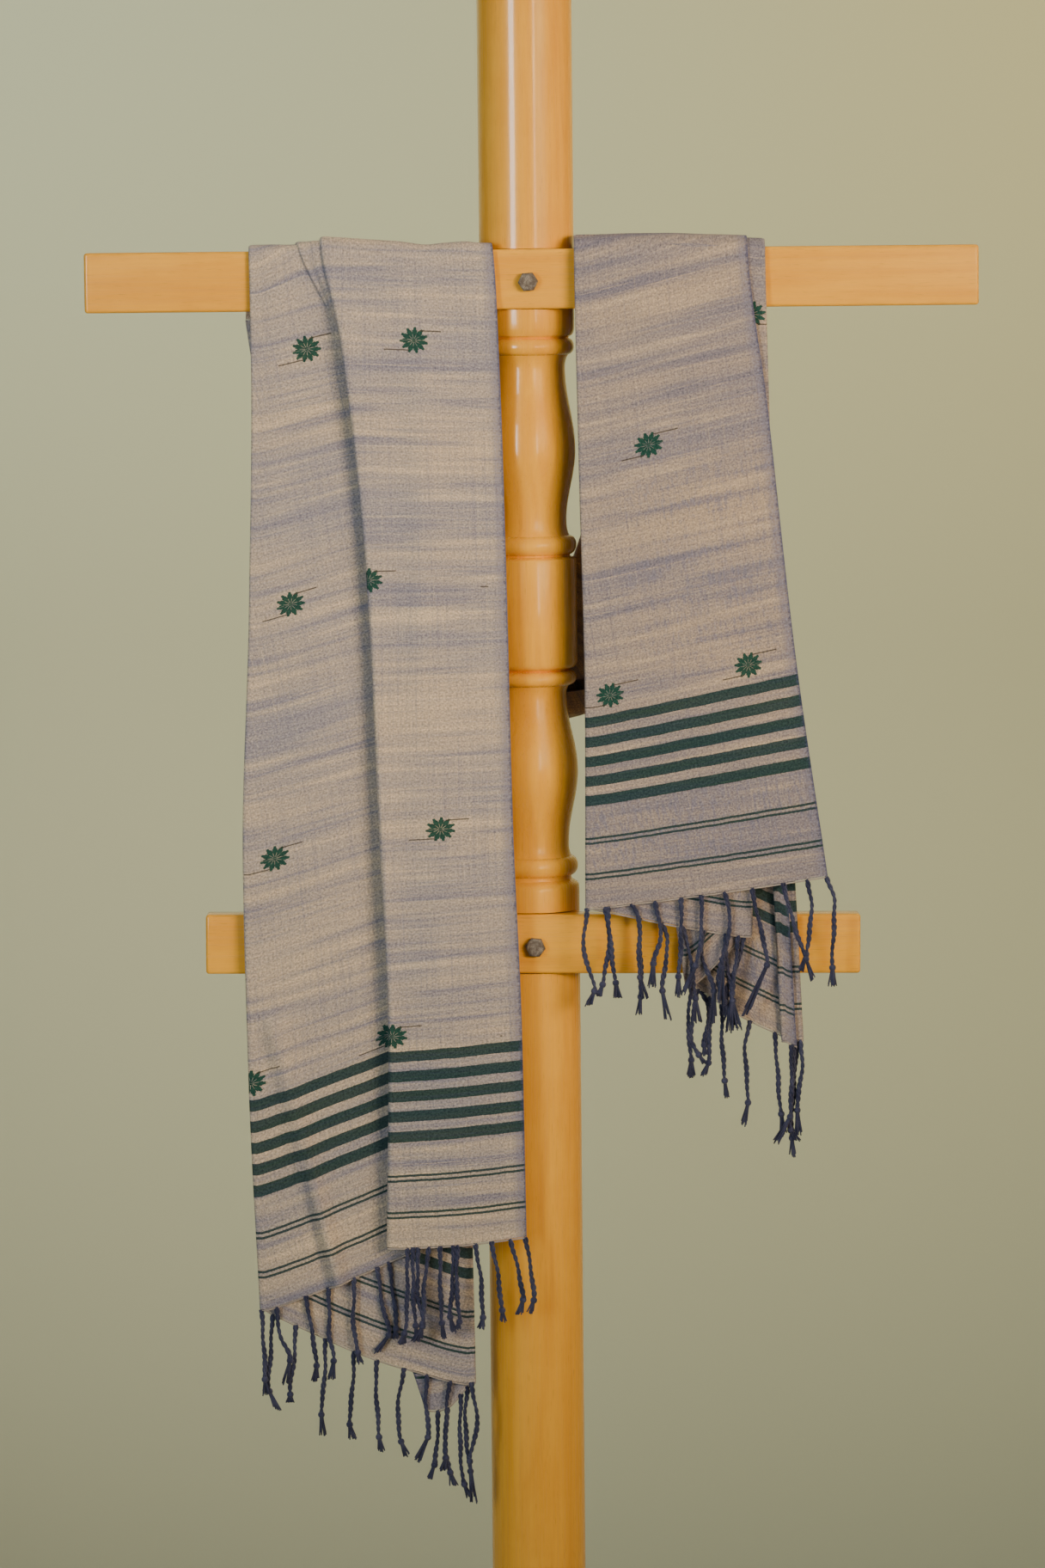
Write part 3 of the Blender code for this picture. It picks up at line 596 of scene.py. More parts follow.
# Creases: layer, x and reach at one end, x and reach at the other, half width, depth
# (towards the arm; a negative depth is a ridge).
LEFT_CREASES = (
    (2, -203, 590, -151, 800, 4.2, 2.4),
    (2, -193, 590, -141, 800, 7.0, -8.5),
    (2, -116, 240, -108, 760, 12.0, 1.9),
    (2, -168, 300, -162, 520, 20.0, -1.2),
    (0, -98, 120, -92, 740, 13.0, 2.0),
    (0, -40, 40, -52, 420, 22.0, 1.0),
    (0, -72, -25, -76, 25, 12.0, 1.9),
    (0, -46, -22, -41, 60, 7.0, -1.5),
    (0, -58, 640, -54, 740, 6.0, -1.0),
    (0, -72, 30, -84, 330, 10.0, -1.1),
    (2, -186, 40, -188, 330, 9.0, -0.9),
)
RIGHT_LINES = (
    (
        (0, 480, 217, 20.5, 20.5), (157, 317, 194.3, 20.0, 20.0), (330, 143, 176, 15.0, 15.0),
        (466, 0, 161, 7.9, 7.9), (528, -69, 172, 11.6, 11.6),
    ),
    (
        (0, 502, 39, 20.5, 17.2), (157, 348, 40, 20.0, 16.8), (330, 173, 37, 15.5, 12.6),
        (496, 0, 35, 9.5, 7.6), (516, -21, 36.5, 10.0, 8.1), (558, -69, 37, 11.4, 9.5),
    ),
    (
        (0, 524, 161, 17.2, 14.0), (157, 371, 165, 17.0, 13.8), (330, 195, 177, 12.8, 10.4),
        (518, 0, 174, 5.8, 4.1), (580, -69, 176, 9.5, 7.6),
    ),
    (
        (0, 561, 112, 14.0, 4.0), (157, 398, 90, 13.8, 4.0), (330, 215, 75, 10.4, 3.2),
        (538, 0, 55, 6.3, 1.0), (600, -69, 60, 7.6, 1.8),
    ),
    (
        (0, 603, 199, 4.0, 7.2), (157, 437, 190, 4.0, 7.2), (330, 229, 148, 3.2, 5.4),
        (545, 0, 120, 1.0, 2.9), (607, -69, 126, 1.8, 3.7),
    ),
    (
        (0, 603, 183, 7.2, 10.4), (157, 437, 174, 7.2, 10.4), (330, 230, 119, 5.4, 7.8),
        (546, 0, 92, 2.9, 4.7), (608, -69, 98, 3.7, 5.6),
    ),
    (
        (0, 607, 194, 10.4, 10.4), (157, 441, 184, 10.4, 10.4), (330, 232, 141, 7.8, 7.8),
        (548, 0, 116, 4.7, 4.7), (610, -69, 121, 5.6, 5.6),
    ),
)
RIGHT_BOWS = ((4.0, 1.9), (2.0, 2.5), (2.0, 2.3), (0.0, 0.0), (0.0, 0.0), (0.0, 0.0))
RIGHT_DROOPS = (1.0, 1.5, 0.0, 4.0, 0.0, 0.0)
RIGHT_CREASES = (
    (0, 60, 70, 150, 200, 9.0, 1.1),
    (0, 80, 60, 170, 170, 8.0, -1.0),
    (0, 60, 220, 160, 330, 10.0, 0.9),
    (0, 70, 300, 180, 420, 10.0, -0.9),
    (0, 150, 250, 205, 430, 8.0, 1.1),
)

OAT = (0.530, 0.412, 0.290, 1.0)
LILAC = (0.322, 0.284, 0.286, 1.0)
SMOKE = (0.195, 0.185, 0.245, 1.0)
STRAW = (0.660, 0.520, 0.360, 1.0)
NAVY = (0.060, 0.062, 0.125, 1.0)
BAND_GREEN = (0.012, 0.046, 0.038, 1.0)
LEAF_GREEN = (0.008, 0.060, 0.043, 1.0)
TWIG = (0.055, 0.045, 0.030, 1.0)
# Flower rows: distance along the cloth, place across it of one head, step to the next.
FLOWER_ROWS = (
    (155, 91, 98.5), (310, 53, 103), (497, 105, 108), (675.5, 65, 99), (845, 104, 108), (1020, 56, 108),
    (1190, 108, 108), (1365, 58, 108), (1577, 258, 290), (1700, 110, 108), (1873, 56, 108),
)
FLOWER_PITCH = 108.0
FLOWER_HALF_WIDE = 10.6
FLOWER_HALF_TALL = 8.9
PETALS = 11
# Stripes, measured from the nearer hem: two pairs of lines, then bands at an even step.
LINE_PAIRS = (23.5, 50.2)
PAIR_HALF_APART = 1.8
LINE_HALF = 0.85
BAND_START = 76.6
BAND_STEP = 14.7
BAND_HALF = 4.0
BAND_ZONE = (110.2, 34.3)
# Where the short fall's deeper tone sets in, along the cloth.
DEEPER = (1300.0, 1480.0)


def near_line(value, centre, half, soft):
    """1 within half of centre, fading to 0 over soft."""
    away = calc("ABSOLUTE", minus(value, centre))
    return between(away, half - soft / 2, half + soft / 2, 1.0, 0.0)


def flower_mask(across, along):
    """Heads and dashes of the flower rows: a star of pointed petals in polar coordinates,
    short pale gaps near its heart, a thin dash above one side and below the other."""
    shift = 0.0
    rise = 0.0
    step = FLOWER_PITCH
    for row, offset, pitch in FLOWER_ROWS:
        here = near_line(along, float(row), 20.0, 0.1)
        shift = calc("MULTIPLY_ADD", here, float(offset), shift)
        rise = plus(rise, times(here, minus(along, float(row))))
        if pitch != FLOWER_PITCH:
            step = calc("MULTIPLY_ADD", here, pitch - FLOWER_PITCH, step)
    woven = near_line(calc("ABSOLUTE", rise), 10.0, 9.95, 0.1)
    ticks = plus(minus(across, shift), times(step, 10.5))
    ticks = minus(calc("MODULO", ticks, step), times(step, 0.5))
    wide = calc("DIVIDE", ticks, FLOWER_HALF_WIDE)
    tall = calc("DIVIDE", rise, FLOWER_HALF_TALL)
    away = calc("SQRT", plus(times(wide, wide), times(tall, tall)))
    angle = calc("ARCTAN2", tall, wide)
    petal = calc("FRACT", calc("MULTIPLY_ADD", angle, PETALS / (2 * math.pi), PETALS + 0.6))
    side = calc("ABSOLUTE", calc("MULTIPLY_ADD", petal, 2.0, -1.0))
    jag = calc("PINGPONG", times(side, 1.9), 0.5)
    edge = minus(1.02, times(calc("POWER", side, 1.1), 0.42))
    edge = calc("MULTIPLY_ADD", jag, 0.22, edge)
    head = between(minus(edge, away), -0.03, 0.03)
    gap = times(away, minus(1.0, side))
    filled = calc("MAXIMUM", between(gap, 0.025, 0.055), between(away, 0.44, 0.52))
    filled = calc("MAXIMUM", filled, between(away, 0.16, 0.12))
    woven = times(woven, near_line(across, CLOTH_WIDTH / 2, CLOTH_WIDTH / 2 - 14.0, 0.1))
    head = times(times(head, filled), woven)
    upper = times(near_line(rise, 6.6, 0.45, 0.3), near_line(ticks, -12.5, 8.5, 0.5))
    lower = times(near_line(rise, -6.9, 0.45, 0.3), near_line(ticks, 13.5, 9.5, 0.5))
    return head, times(calc("MAXIMUM", upper, lower), woven)


def weave_group():
    """The stole's weave. Its input is (across, along, 0) in mm; stripes depend on the nearer
    hem, flower heads on a row table, and all of it is uneven yarn laid thread by thread."""
    given, made = new_group("handloom_weave", (("Thread", "Vector"),))
    thread = given["Thread"]
    parts = new_node("ShaderNodeSeparateXYZ", thread)
    feed(parts.inputs[0], thread)
    across = parts.outputs[0]
    along = parts.outputs[1]

    # Wefts: broad zones of oat and lilac, within them runs of single yarns that fade out.
    zones = cloud(scaled(thread, (0.0028, 0.014, 0.0)), 2.0, 0.5)
    runs = cloud(scaled(thread, (0.0055, 0.11, 0.0), (7.0, 3.0, 0.0)), 3.0, 0.6)
    single = cloud(scaled(thread, (0.009, 0.62, 0.0), (1.0, 9.0, 0.0)), 3.0, 0.65)
    warps = cloud(scaled(thread, (0.55, 0.008, 0.0), (4.0, 2.0, 0.0)), 3.0, 0.7)
    tint = plus(times(zones, 0.5), times(runs, 0.5))
    tint = plus(tint, between(along, *DEEPER, 0.0, 0.03))
    colour = blend(between(tint, 0.41, 0.59), OAT, LILAC)
    for yarns, low, high, share, tone in (
        (runs, 0.53, 0.70, 0.68, SMOKE), (runs, 0.43, 0.31, 0.62, STRAW), (single, 0.54, 0.72, 0.40, SMOKE),
        (single, 0.44, 0.29, 0.60, STRAW), (warps, 0.50, 0.70, 0.40, SMOKE), (warps, 0.42, 0.28, 0.25, STRAW),
    ):
        colour = blend(between(yarns, low, high, 0.0, share), colour, tone)
    colour = blend(between(along, *DEEPER), colour, (0.86, 0.83, 0.82, 1.0), "MULTIPLY")

    # Puckers: short upright ripples where the weave drew in, over the short fall's free side
    # and between its two pairs of fine lines.
    ripples = cloud(scaled(thread, (0.36, 0.10, 0.0), (0.0, 5.0, 0.0)), 1.0, 0.4, 0.7)
    drawn = times(near_line(along, 1790.0, 90.0, 60.0), between(across, 375.0, 430.0))
    drawn = times(drawn, between(runs, 0.40, 0.56, 0.25, 1.0))
    drawn = calc("MAXIMUM", drawn, near_line(along, 1980.0, 26.0, 14.0))
    colour = blend(times(drawn, between(ripples, 0.50, 0.62, 0.0, 0.55)), colour, SMOKE)

    # A slate strip along each selvedge, seen between the pale threads.
    speck = cloud(scaled(thread, (0.62, 0.70, 0.0)), 3.0, 0.75)
    rim = calc("MINIMUM", across, minus(CLOTH_WIDTH, across))
    strip = times(between(rim, 10.0, 4.0), between(speck, 0.40, 0.58, 0.2, 0.8))
    colour = blend(strip, colour, SMOKE)

    # Stripes near each hem: two pairs of fine lines, then five bands.
    wander = cloud(scaled(thread, (0.05, 0.01, 0.0)), 2.0, 0.5)
    hem = calc("MINIMUM", along, minus(CLOTH_LENGTH, along))
    hem = plus(hem, calc("MULTIPLY_ADD", wander, 1.2, -0.6))
    ragged = cloud(scaled(thread, (0.7, 0.05, 0.0)), 1.0, 0.5)
    hem = plus(hem, calc("MULTIPLY_ADD", ragged, 0.5, -0.25))
    lines, second = (
        near_line(calc("ABSOLUTE", minus(hem, middle)), PAIR_HALF_APART, LINE_HALF, 0.3) for middle in LINE_PAIRS
    )
    lines = calc("MAXIMUM", lines, second)
    place = calc("MODULO", minus(hem, BAND_START), BAND_STEP)
    bands = times(near_line(place, BAND_HALF, BAND_HALF, 0.4), near_line(hem, *BAND_ZONE, 0.4))
    band_tone = blend(between(single, 0.35, 0.7, 0.0, 0.3), BAND_GREEN, NAVY)
    colour = blend(times(calc("MAXIMUM", bands, lines), 0.95), colour, band_tone)

    head, dash = flower_mask(across, along)
    leaf_tone = blend(between(single, 0.4, 0.7, 0.0, 0.4), LEAF_GREEN, BAND_GREEN)
    colour = blend(times(head, 0.97), colour, leaf_tone)
    colour = blend(times(dash, 0.85), colour, TWIG)

    # Selvedges: navy edge threads, nicked where wefts turn.
    nick = cloud(scaled(thread, (0.3, 0.42, 0.0)), 3.0, 0.7)
    rim = plus(rim, calc("MULTIPLY_ADD", nick, 8.0, -4.0))
    colour = blend(between(rim, 0.6, 2.4, 0.7, 0.0), colour, NAVY)

    # Threads: pale and dark ends show as a fine speckle over the ribs.
    tone = blend(between(speck, 0.30, 0.70), (0.43, 0.44, 0.51, 1.0), (1.52, 1.49, 1.42, 1.0))
    colour = blend(1.0, colour, tone, "MULTIPLY")
    ribs = calc("SINE", times(along, 2 * math.pi / 1.1))
    ends = calc("SINE", times(across, 2 * math.pi / 0.9))
    height = times(times(ribs, ends), 0.3)
    height = calc("MULTIPLY_ADD", speck, 1.2, height)
    height = calc("MULTIPLY_ADD", single, 0.7, height)
    height = calc("MULTIPLY_ADD", times(ripples, drawn), 2.6, height)
    height = calc("MULTIPLY_ADD", head, 0.3, height)
    return give(made, colour, between(single, 0.3, 0.7, 0.82, 0.95), height)


WEAVE = weave_group()


def weave_material():
    def threads_in_mm(tree):
        where = tree.nodes.new("ShaderNodeUVMap")
        where.uv_map = "threads"
        return scaled(where.outputs["UV"], (1000.0, 1000.0, 0.0))

    wool = {"Sheen Weight": 0.06, "Sheen Roughness": 0.5, "Specular IOR Level": 0.15}
    return finish_shader("handloom_weave", WEAVE, threads_in_mm, 0.35, 0.5, wool)[0]


WEAVE_MATERIAL = weave_material()


def smooth_run(knots, values, wanted):
    """Cubic through (knots, values) that never overshoots: slopes are harmonic means."""
    knots = np.asarray(knots, float)
    values = np.asarray(values, float)
    step = np.diff(knots)
    rise = np.diff(values) / step
    slope = np.zeros(len(knots))
    slope[0] = rise[0]
    slope[-1] = rise[-1]
    for k in range(1, len(knots) - 1):
        if rise[k - 1] * rise[k] > 0:
            first = 2 * step[k] + step[k - 1]
            second = step[k] + 2 * step[k - 1]
            slope[k] = (first + second) / (first / rise[k - 1] + second / rise[k])
    place = np.clip(np.searchsorted(knots, wanted, side="right") - 1, 0, len(step) - 1)
    s = (wanted - knots[place]) / step[place]
    start = (1 + 2 * s) * (1 - s) ** 2 * values[place] + s * (1 - s) ** 2 * step[place] * slope[place]
    end = s * s * (3 - 2 * s) * values[place + 1] - s * s * (1 - s) * step[place] * slope[place + 1]
    return start + end


def around_arm(x, reach, off):
    """Point over the upper arm: flat top, a quarter turn of radius 2 + off, then straight down."""
    run = np.abs(reach)
    turn = np.clip((run - FLAT_HALF) / CORNER_RUN, 0.0, 1.0) * math.pi / 2
    radius = CORNER_RADIUS + off
    deep = np.minimum(run, FLAT_HALF) + radius * np.sin(turn)
    z = UPPER_ARM[3] - CORNER_RADIUS + radius * np.cos(turn) - np.maximum(run - CROWN_START, 0.0)
    return join(x, (ARM_FRONT + ARM_BACK) / 2 - np.sign(reach) * deep, z)


def surface_normals(grid):
    """Unit normals of a grid of points, from the steps to each point's neighbours."""
    return unit(np.cross(np.gradient(grid, axis=1), np.gradient(grid, axis=0)))


def thin_cloth(name, grid, across, along, node):
    """A closed skin half a thickness before and behind the grid, with thread numbers as its UV map."""
    rows, columns = grid.shape[:2]
    normal = surface_normals(grid) * CLOTH_THICK / 2
    points = np.concatenate([(grid + normal).reshape(-1, 3), (grid - normal).reshape(-1, 3)])
    behind = rows * columns
    front = grid_faces(rows, columns)
    edge = np.concatenate([
        np.arange(columns),
        np.arange(1, rows) * columns + columns - 1,
        (rows - 1) * columns + np.arange(columns - 1)[::-1],
        np.arange(1, rows - 1)[::-1] * columns,
    ])
    there = np.roll(edge, -1)
    rim = np.stack([there, edge, edge + behind, there + behind], axis=-1)
    faces = np.concatenate([front, front[:, ::-1] + behind, rim])
    mesh = make_mesh(name, points, faces.tolist(), 70.0)
    threads = np.tile(join(across, along).reshape(-1, 2), (2, 1)) * MILLIMETRE
    corners = np.zeros(len(mesh.loops), np.int32)
    mesh.loops.foreach_get("vertex_index", corners)
    mesh.uv_layers.new(name="threads").data.foreach_set("uv", threads[corners].astype(np.float32).ravel())
    mesh.materials.append(WEAVE_MATERIAL)
    cloth = add_object(name, mesh)
    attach(cloth, "root")
    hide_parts(node)
    return cloth


def fall_controls(lines, bows, rows):
    """Control polygon of every row, (rows, points, 4) of x, reach, off, along, and what each point is.

    rows counts even steps up to the last even weft, then past it in shares of what is left.
    """
    runs = []
    for table in lines:
        knots = np.array(table, float).T
        even = [v for v in knots[0] if v <= rows[1]][-1]
        along = np.where(rows[0] <= 1.0, rows[0] * even, even + (rows[0] - 1.0) * (knots[0][-1] - even))
        runs.append([smooth_run(knots[0], knots[k], along) for k in (2, 1, 3, 4)] + [along])
    points = []
    kinds = []
    last = len(runs) - 1
    for k, (x, reach, arriving, leaving, along) in enumerate(runs):
        if k > 0:
            before = runs[k - 1]
            fade = np.clip((reach - CROWN_START) / BOW_FADE, 0.0, 1.0)
            hanging, crossing = bows[k - 1]
            middle_off = (before[3] + arriving) / 2 + crossing + (hanging - crossing) * fade
            halfway = [(before[k] + value) / 2 for k, value in ((0, x), (1, reach), (4, along))]
            points.append(join(*halfway[:2], middle_off, halfway[2]))
            kinds.append("middle")
        if k in (0, last):
            points.append(join(x, reach, arriving, along))
            kinds.append("edge")
            continue
        back = x + np.clip((runs[k - 1][0] - x) / 3, -FOLD_ROUNDING, FOLD_ROUNDING)
        ahead = x + np.clip((runs[k + 1][0] - x) / 3, -FOLD_ROUNDING, FOLD_ROUNDING)
        for place, off in ((back, arriving), (x, arriving), (x, leaving), (ahead, leaving)):
            points.append(join(place, reach, off, along))
        kinds += ["beside", "fold", "fold", "beside"]
    return np.stack(points, axis=1), kinds


def fall_rows(lines, bows, rows, fineness):
    """Every row as the quadratic spline of its control polygon, with each column's layer and share."""
    control, kinds = fall_controls(lines, bows, rows)
    spans = []
    layers = []
    shares = []
    layer = 0
    count = control.shape[1]
    start = control[:, 0]
    for k in range(1, count - 1):
        end = (control[:, k] + control[:, k + 1]) / 2
        begin = (control[:, k - 1] + control[:, k]) / 2
        if k == 1:
            s = even_steps(6)[:-1, None, None]
            spans.append(start[None] * (1 - s) + begin[None] * s)
            layers += [layer] * 5
            shares += list(0.25 * even_steps(6)[:-1])
        steps = {"middle": fineness[layer], "beside": 9, "fold": 4}[kinds[k]]
        s = even_steps(steps + 1)[:-1]
        if kinds[k] == "fold" and kinds[k - 1] == "fold":
            layer += 1
        if kinds[k] == "middle":
            shares += list(0.25 + 0.5 * s)
        elif kinds[k] == "beside":
            rising = kinds[k - 1] == "middle"
            shares += list(0.75 + 0.25 * s) if rising else list(0.25 * s)
        else:
            shares += [1.0] * len(s) if kinds[k - 1] == "beside" else [0.0] * len(s)
        layers += [layer] * len(s)
        s = s[:, None, None]
        spans.append((1 - s) ** 2 * begin[None] + 2 * s * (1 - s) * control[:, k][None] + s * s * end[None])
    s = even_steps(6)[:, None, None]
    spans.append(end[None] * (1 - s) + control[:, -1][None] * s)
    layers += [layer] * 6
    shares += list(0.75 + 0.25 * even_steps(6))
    return np.concatenate(spans).transpose(1, 0, 2), np.array(layers), np.array(shares)


def crease_relief(x, reach, layers, shares, creases):
    """Sum over creases of depth exp(-(distance / half width)^2), fading towards the folds."""
    relief = np.zeros_like(x)
    for layer, x0, r0, x1, r1, half, depth in creases:
        run = np.array([x1 - x0, r1 - r0], float)
        s = np.clip(((x - x0) * run[0] + (reach - r0) * run[1]) / (run @ run), 0.0, 1.0)
        away = np.hypot(x - x0 - s * run[0], reach - r0 - s * run[1])
        within = (layers == layer) * np.sin(math.pi * shares) ** 0.5
        relief += depth * np.exp(-((away / half) ** 2)) * within[None, :]
    return relief


def build_fall(name, node, tables, fineness, row_counts, far_end):
    """One fall: rows of spline points carried round the arm, pushed in and out by creases."""
    lines, bows, droops, creases = tables
    rows = np.concatenate([even_steps(row_counts[0])[:-1], 1.0 + even_steps(row_counts[1])])
    section, layers, shares = fall_rows(lines, bows, (rows, EVEN_ROWS), fineness)
    x, reach, off, along = (section[..., k] for k in range(4))
    droop = np.array(droops)[layers] * np.sin(math.pi * shares)
    reach = reach + droop[None, :] * np.exp(-along / 90.0)
    spots = around_arm(x, reach, off)
    steps = np.linalg.norm(np.diff(spots[..., [0, 1]], axis=1), axis=-1)
    across = np.concatenate([np.zeros((len(spots), 1)), np.cumsum(steps, axis=1)], axis=1)
    across *= CLOTH_WIDTH / across[:, -1:]
    relief = crease_relief(x, reach, layers, shares, creases)
    ripple = np.sin(across / 9.0 + 2.2 * np.sin(along / 71.0)) * np.sin(along / 43.0 + across / 60.0)
    relief += 0.28 * ripple * np.sin(math.pi * shares)[None, :]
    grid = spots + surface_normals(spots) * relief[..., None]
    if far_end:
        across = CLOTH_WIDTH - across
        along = CLOTH_LENGTH - along
    return thin_cloth(name, grid, across, along, node), grid[0], layers


left_fall, left_hem, left_layers = build_fall(
    "woven_left_fall", "stole_left_fall", (LEFT_LINES, LEFT_BOWS, LEFT_DROOPS, LEFT_CREASES),
    (38, 10, 44, 16, 12), (106, 46), False,
)
right_fall, right_hem, right_layers = build_fall(
    "woven_right_fall", "stole_right_fall", (RIGHT_LINES, RIGHT_BOWS, RIGHT_DROOPS, RIGHT_CREASES),
    (40, 12, 16, 14, 8, 8), (66, 66), True,
)


# Swag: the cloth between the falls, gathered and hung behind the post in one loop.
# It is the same weave; its open side turns half round on the way.
SWAG_ROWS = 130
SWAG_COLUMNS = 150
SWAG_CENTRE_X = -7.75
SWAG_HALF_SPAN = 113.75
SWAG_DROP = 270.0
SWAG_DROP_POWER = 2.2
SWAG_START_Y = -7.0
SWAG_REACH_Y = 72.0
SWAG_REACH_POWER = 1.3
SWAG_WIDE = (86.0, 36.0, 70.0)
SWAG_DEEP = (3.6, 20.0, 3.6)
SWAG_GAP = 0.03
SWAG_TOP = 1269.55


def swag_size(ends, t):
    """Left, middle and right size joined by a soft curve."""
    start, middle, end = ends
    return middle + (np.where(t < 0.5, start, end) - middle) * np.abs(1 - 2 * t) ** 1.6


def flat_loop(place, half_wide, half_deep):
    """Point at a share of the way round two straight runs joined by half circles."""
    share = np.mod(place, 1.0)
    side = np.where(share < 0.5, 1.0, -1.0)
    share = np.minimum(share, 1 - share)
    straight = half_wide - half_deep
    arc = math.pi * half_deep / 2
    run = share * 2 * (2 * straight + 2 * arc)
    first = np.clip(run / half_deep, 0, math.pi / 2)
    second = np.clip((run - arc - 2 * straight) / half_deep, 0, math.pi / 2)
    wide = straight - np.clip(run - arc, 0, 2 * straight) + half_deep * (np.cos(first) - np.sin(second))
    return wide, side * half_deep * np.where(second > 0, np.cos(second), np.sin(first))


def build_swag():
    """A flat tube open along one side, its path x = -cos, z a flat-bottomed drop, y a bulge to the rear."""
    t = even_steps(SWAG_ROWS)
    fine = 1e-4
    spots = np.concatenate([t, np.clip(t + fine, 0, 1), np.clip(t - fine, 0, 1)])
    x = SWAG_CENTRE_X - SWAG_HALF_SPAN * np.cos(math.pi * spots)
    z = SWAG_TOP - SWAG_DROP * (1 - np.abs(1 - 2 * spots) ** SWAG_DROP_POWER)
    y = SWAG_START_Y + SWAG_REACH_Y * np.abs(np.sin(math.pi * spots)) ** SWAG_REACH_POWER
    path = join(x, y, z)
    centre = path[:SWAG_ROWS]
    ahead = path[SWAG_ROWS : 2 * SWAG_ROWS] - path[2 * SWAG_ROWS :]
    ahead[0] = (0.0, 0.0, -1.0)
    ahead[-1] = (0.0, 0.0, 1.0)
    ahead = unit(ahead)
    outward = unit(join(ahead[:, 2], 0.0, -ahead[:, 0]))
    rearward = np.cross(ahead, outward)
    twist = t * t * (3 - 2 * t)
    u = even_steps(SWAG_COLUMNS)
    place = (0.5 - SWAG_GAP) * (1 - 2 * u[None, :]) + twist[:, None] / 2
    swell = np.sin(math.pi * t)[:, None]
    lobe = 1 + swell * (0.10 * np.cos(11 * math.pi * u) + 0.035 * np.sin(23 * math.pi * u + 5 * t[:, None]))
    sizes = (swag_size(ends, t)[:, None] * lobe for ends in (SWAG_WIDE, SWAG_DEEP))
    wide, deep = flat_loop(place, *sizes)
    grid = centre[:, None] + wide[..., None] * outward[:, None] + deep[..., None] * rearward[:, None]
    across = np.broadcast_to(CLOTH_WIDTH * u[None, :], grid.shape[:2])
    end = CLOTH_LENGTH - 600.0
    along = np.broadcast_to((SWAG_START - 12.0 + (end - SWAG_START) * t)[:, None], grid.shape[:2])
    return thin_cloth("woven_back_swag", grid[:, ::-1], across[:, ::-1], along, "stole_back_swag")


back_swag = build_swag()


# Fringes: each hem is bound with loose yarn, and the warp ends are plied in pairs into
# navy cords, each knotted near its end with a short tuft below the knot.
PLY_RADIUS = 1.24
PLY_APART = 1.0
PLY_PITCH = 10.0
BINDING_RADIUS = 0.6
# Cords: layer of the hem, x of the root, then three (sideways, down) steps from the
# root: half way, at the knot and at the tuft's tip.
LEFT_CORDS = (
    (2, -204, 1, 23, 2, 51, 2, 64), (3, -196, -2, 30, -4, 57, 3, 72), (3, -179, -1, 21, -5, 51, -5, 59),
    (3, -157, -1, 29, -4, 56, -3, 73), (3, -136, -1, 23, -4, 54, -2, 66), (3, -119, -1, 13, 1, 57, 2, 69),
    (3, -99, -5, 33, -3, 54, 1, 66), (3, -82, -1, 23, 1, 46, -8, 65), (3, -65, -3, 24, -4, 57, -6, 68),
    (3, -49, 4, 32, -2, 58, -1, 83), (4, -74, -1, 22, -3, 40, -6, 52), (4, -67, -2, 32, 1, 48, 4, 59),
    (4, -57, -1, 32, 1, 67, 6, 78), (4, -52, -2, 25, 1, 63, 4, 87), (2, -193, 3, 23, 10, 39, 6, 58),
    (2, -171, 4, 26, 7, 51, 6, 64), (2, -154, 0, 35, 3, 54, 1, 69), (2, -135, -1, 35, 2, 55, 4, 65),
    (2, -118, 5, 35, 9, 50, -1, 64), (2, -109, 4, 37, 5, 49, 4, 58), (0, -95, -1, 50, -3, 63, -5, 72),
    (0, -91, 0, 28, 1, 57, 2, 70), (0, -87, -1, 33, 3, 58, -4, 70), (0, -79, -4, 30, -5, 56, -8, 69),
    (0, -71, 0, 32, 1, 56, 2, 69), (0, -61, -1, 28, -3, 52, -1, 65), (0, -58, -1, 32, 1, 56, -1, 63),
    (0, -45, 4, 28, 5, 54, 4, 64), (0, -33, 5, 28, 7, 50, 8, 60), (0, -19, 7, 30, 9, 44, 6, 56),
    (0, -8, 5, 32, 6, 46, 3, 57),
)
RIGHT_CORDS = (
    (0, 40, -3, 30, 5, 60, 0, 72), (0, 53, 3, 21, -2, 56, -5, 66), (0, 55, 2, 25, 5, 55, 7, 68),
    (0, 73, 5, 11, 5, 53, 9, 70), (0, 90, 4, 28, -2, 45, -3, 63), (0, 109, 0, 23, -2, 57, -3, 73),
    (0, 124, 0, 25, -4, 51, -13, 72), (0, 141, 4, 19, -2, 55, -3, 83), (0, 161, 5, 24, 11, 56, -5, 93),
    (0, 184, 7, 27, 16, 55, 21, 72), (0, 202, 3, 20, -1, 54, -4, 68), (0, 216, 6, 20, 4, 66, 4, 81),
    (1, 78, 1, 27, 1, 57, 0, 71), (1, 95, 4, 14, 0, 49, 4, 71), (1, 110, 5, 19, 9, 52, 11, 71),
    (1, 125, -1, 19, 8, 44, 7, 68), (1, 142, 0, 18, 4, 43, 2, 72), (1, 151, -2, 21, -5, 47, 0, 69),
    (2, 155, -5, 22, -13, 41, -13, 60), (2, 139, -3, 16, 1, 32, 10, 52), (3, 117, -3, 28, -1, 54, -1, 68),
    (3, 121, -5, 35, 0, 48, 5, 56), (3, 124, 6, 14, 5, 52, 1, 63), (3, 130, -2, 22, -4, 35, -4, 44),
    (3, 139, 0, 25, 2, 56, 3, 70), (3, 160, -4, 20, -2, 60, -6, 78), (3, 178, 2, 30, 4, 60, 6, 76),
    (5, 190, 0, 28, -1, 53, -11, 73), (4, 193, -2, 28, -4, 66, 1, 75), (4, 197, 1, 19, -3, 51, -2, 70),
    (3, 195, -3, 34, -5, 72, -4, 87),
)
YARN_NAVY = (0.027, 0.028, 0.062, 1.0)
YARN_SLATE = (0.066, 0.068, 0.125, 1.0)
YARN_INK = (0.012, 0.013, 0.032, 1.0)


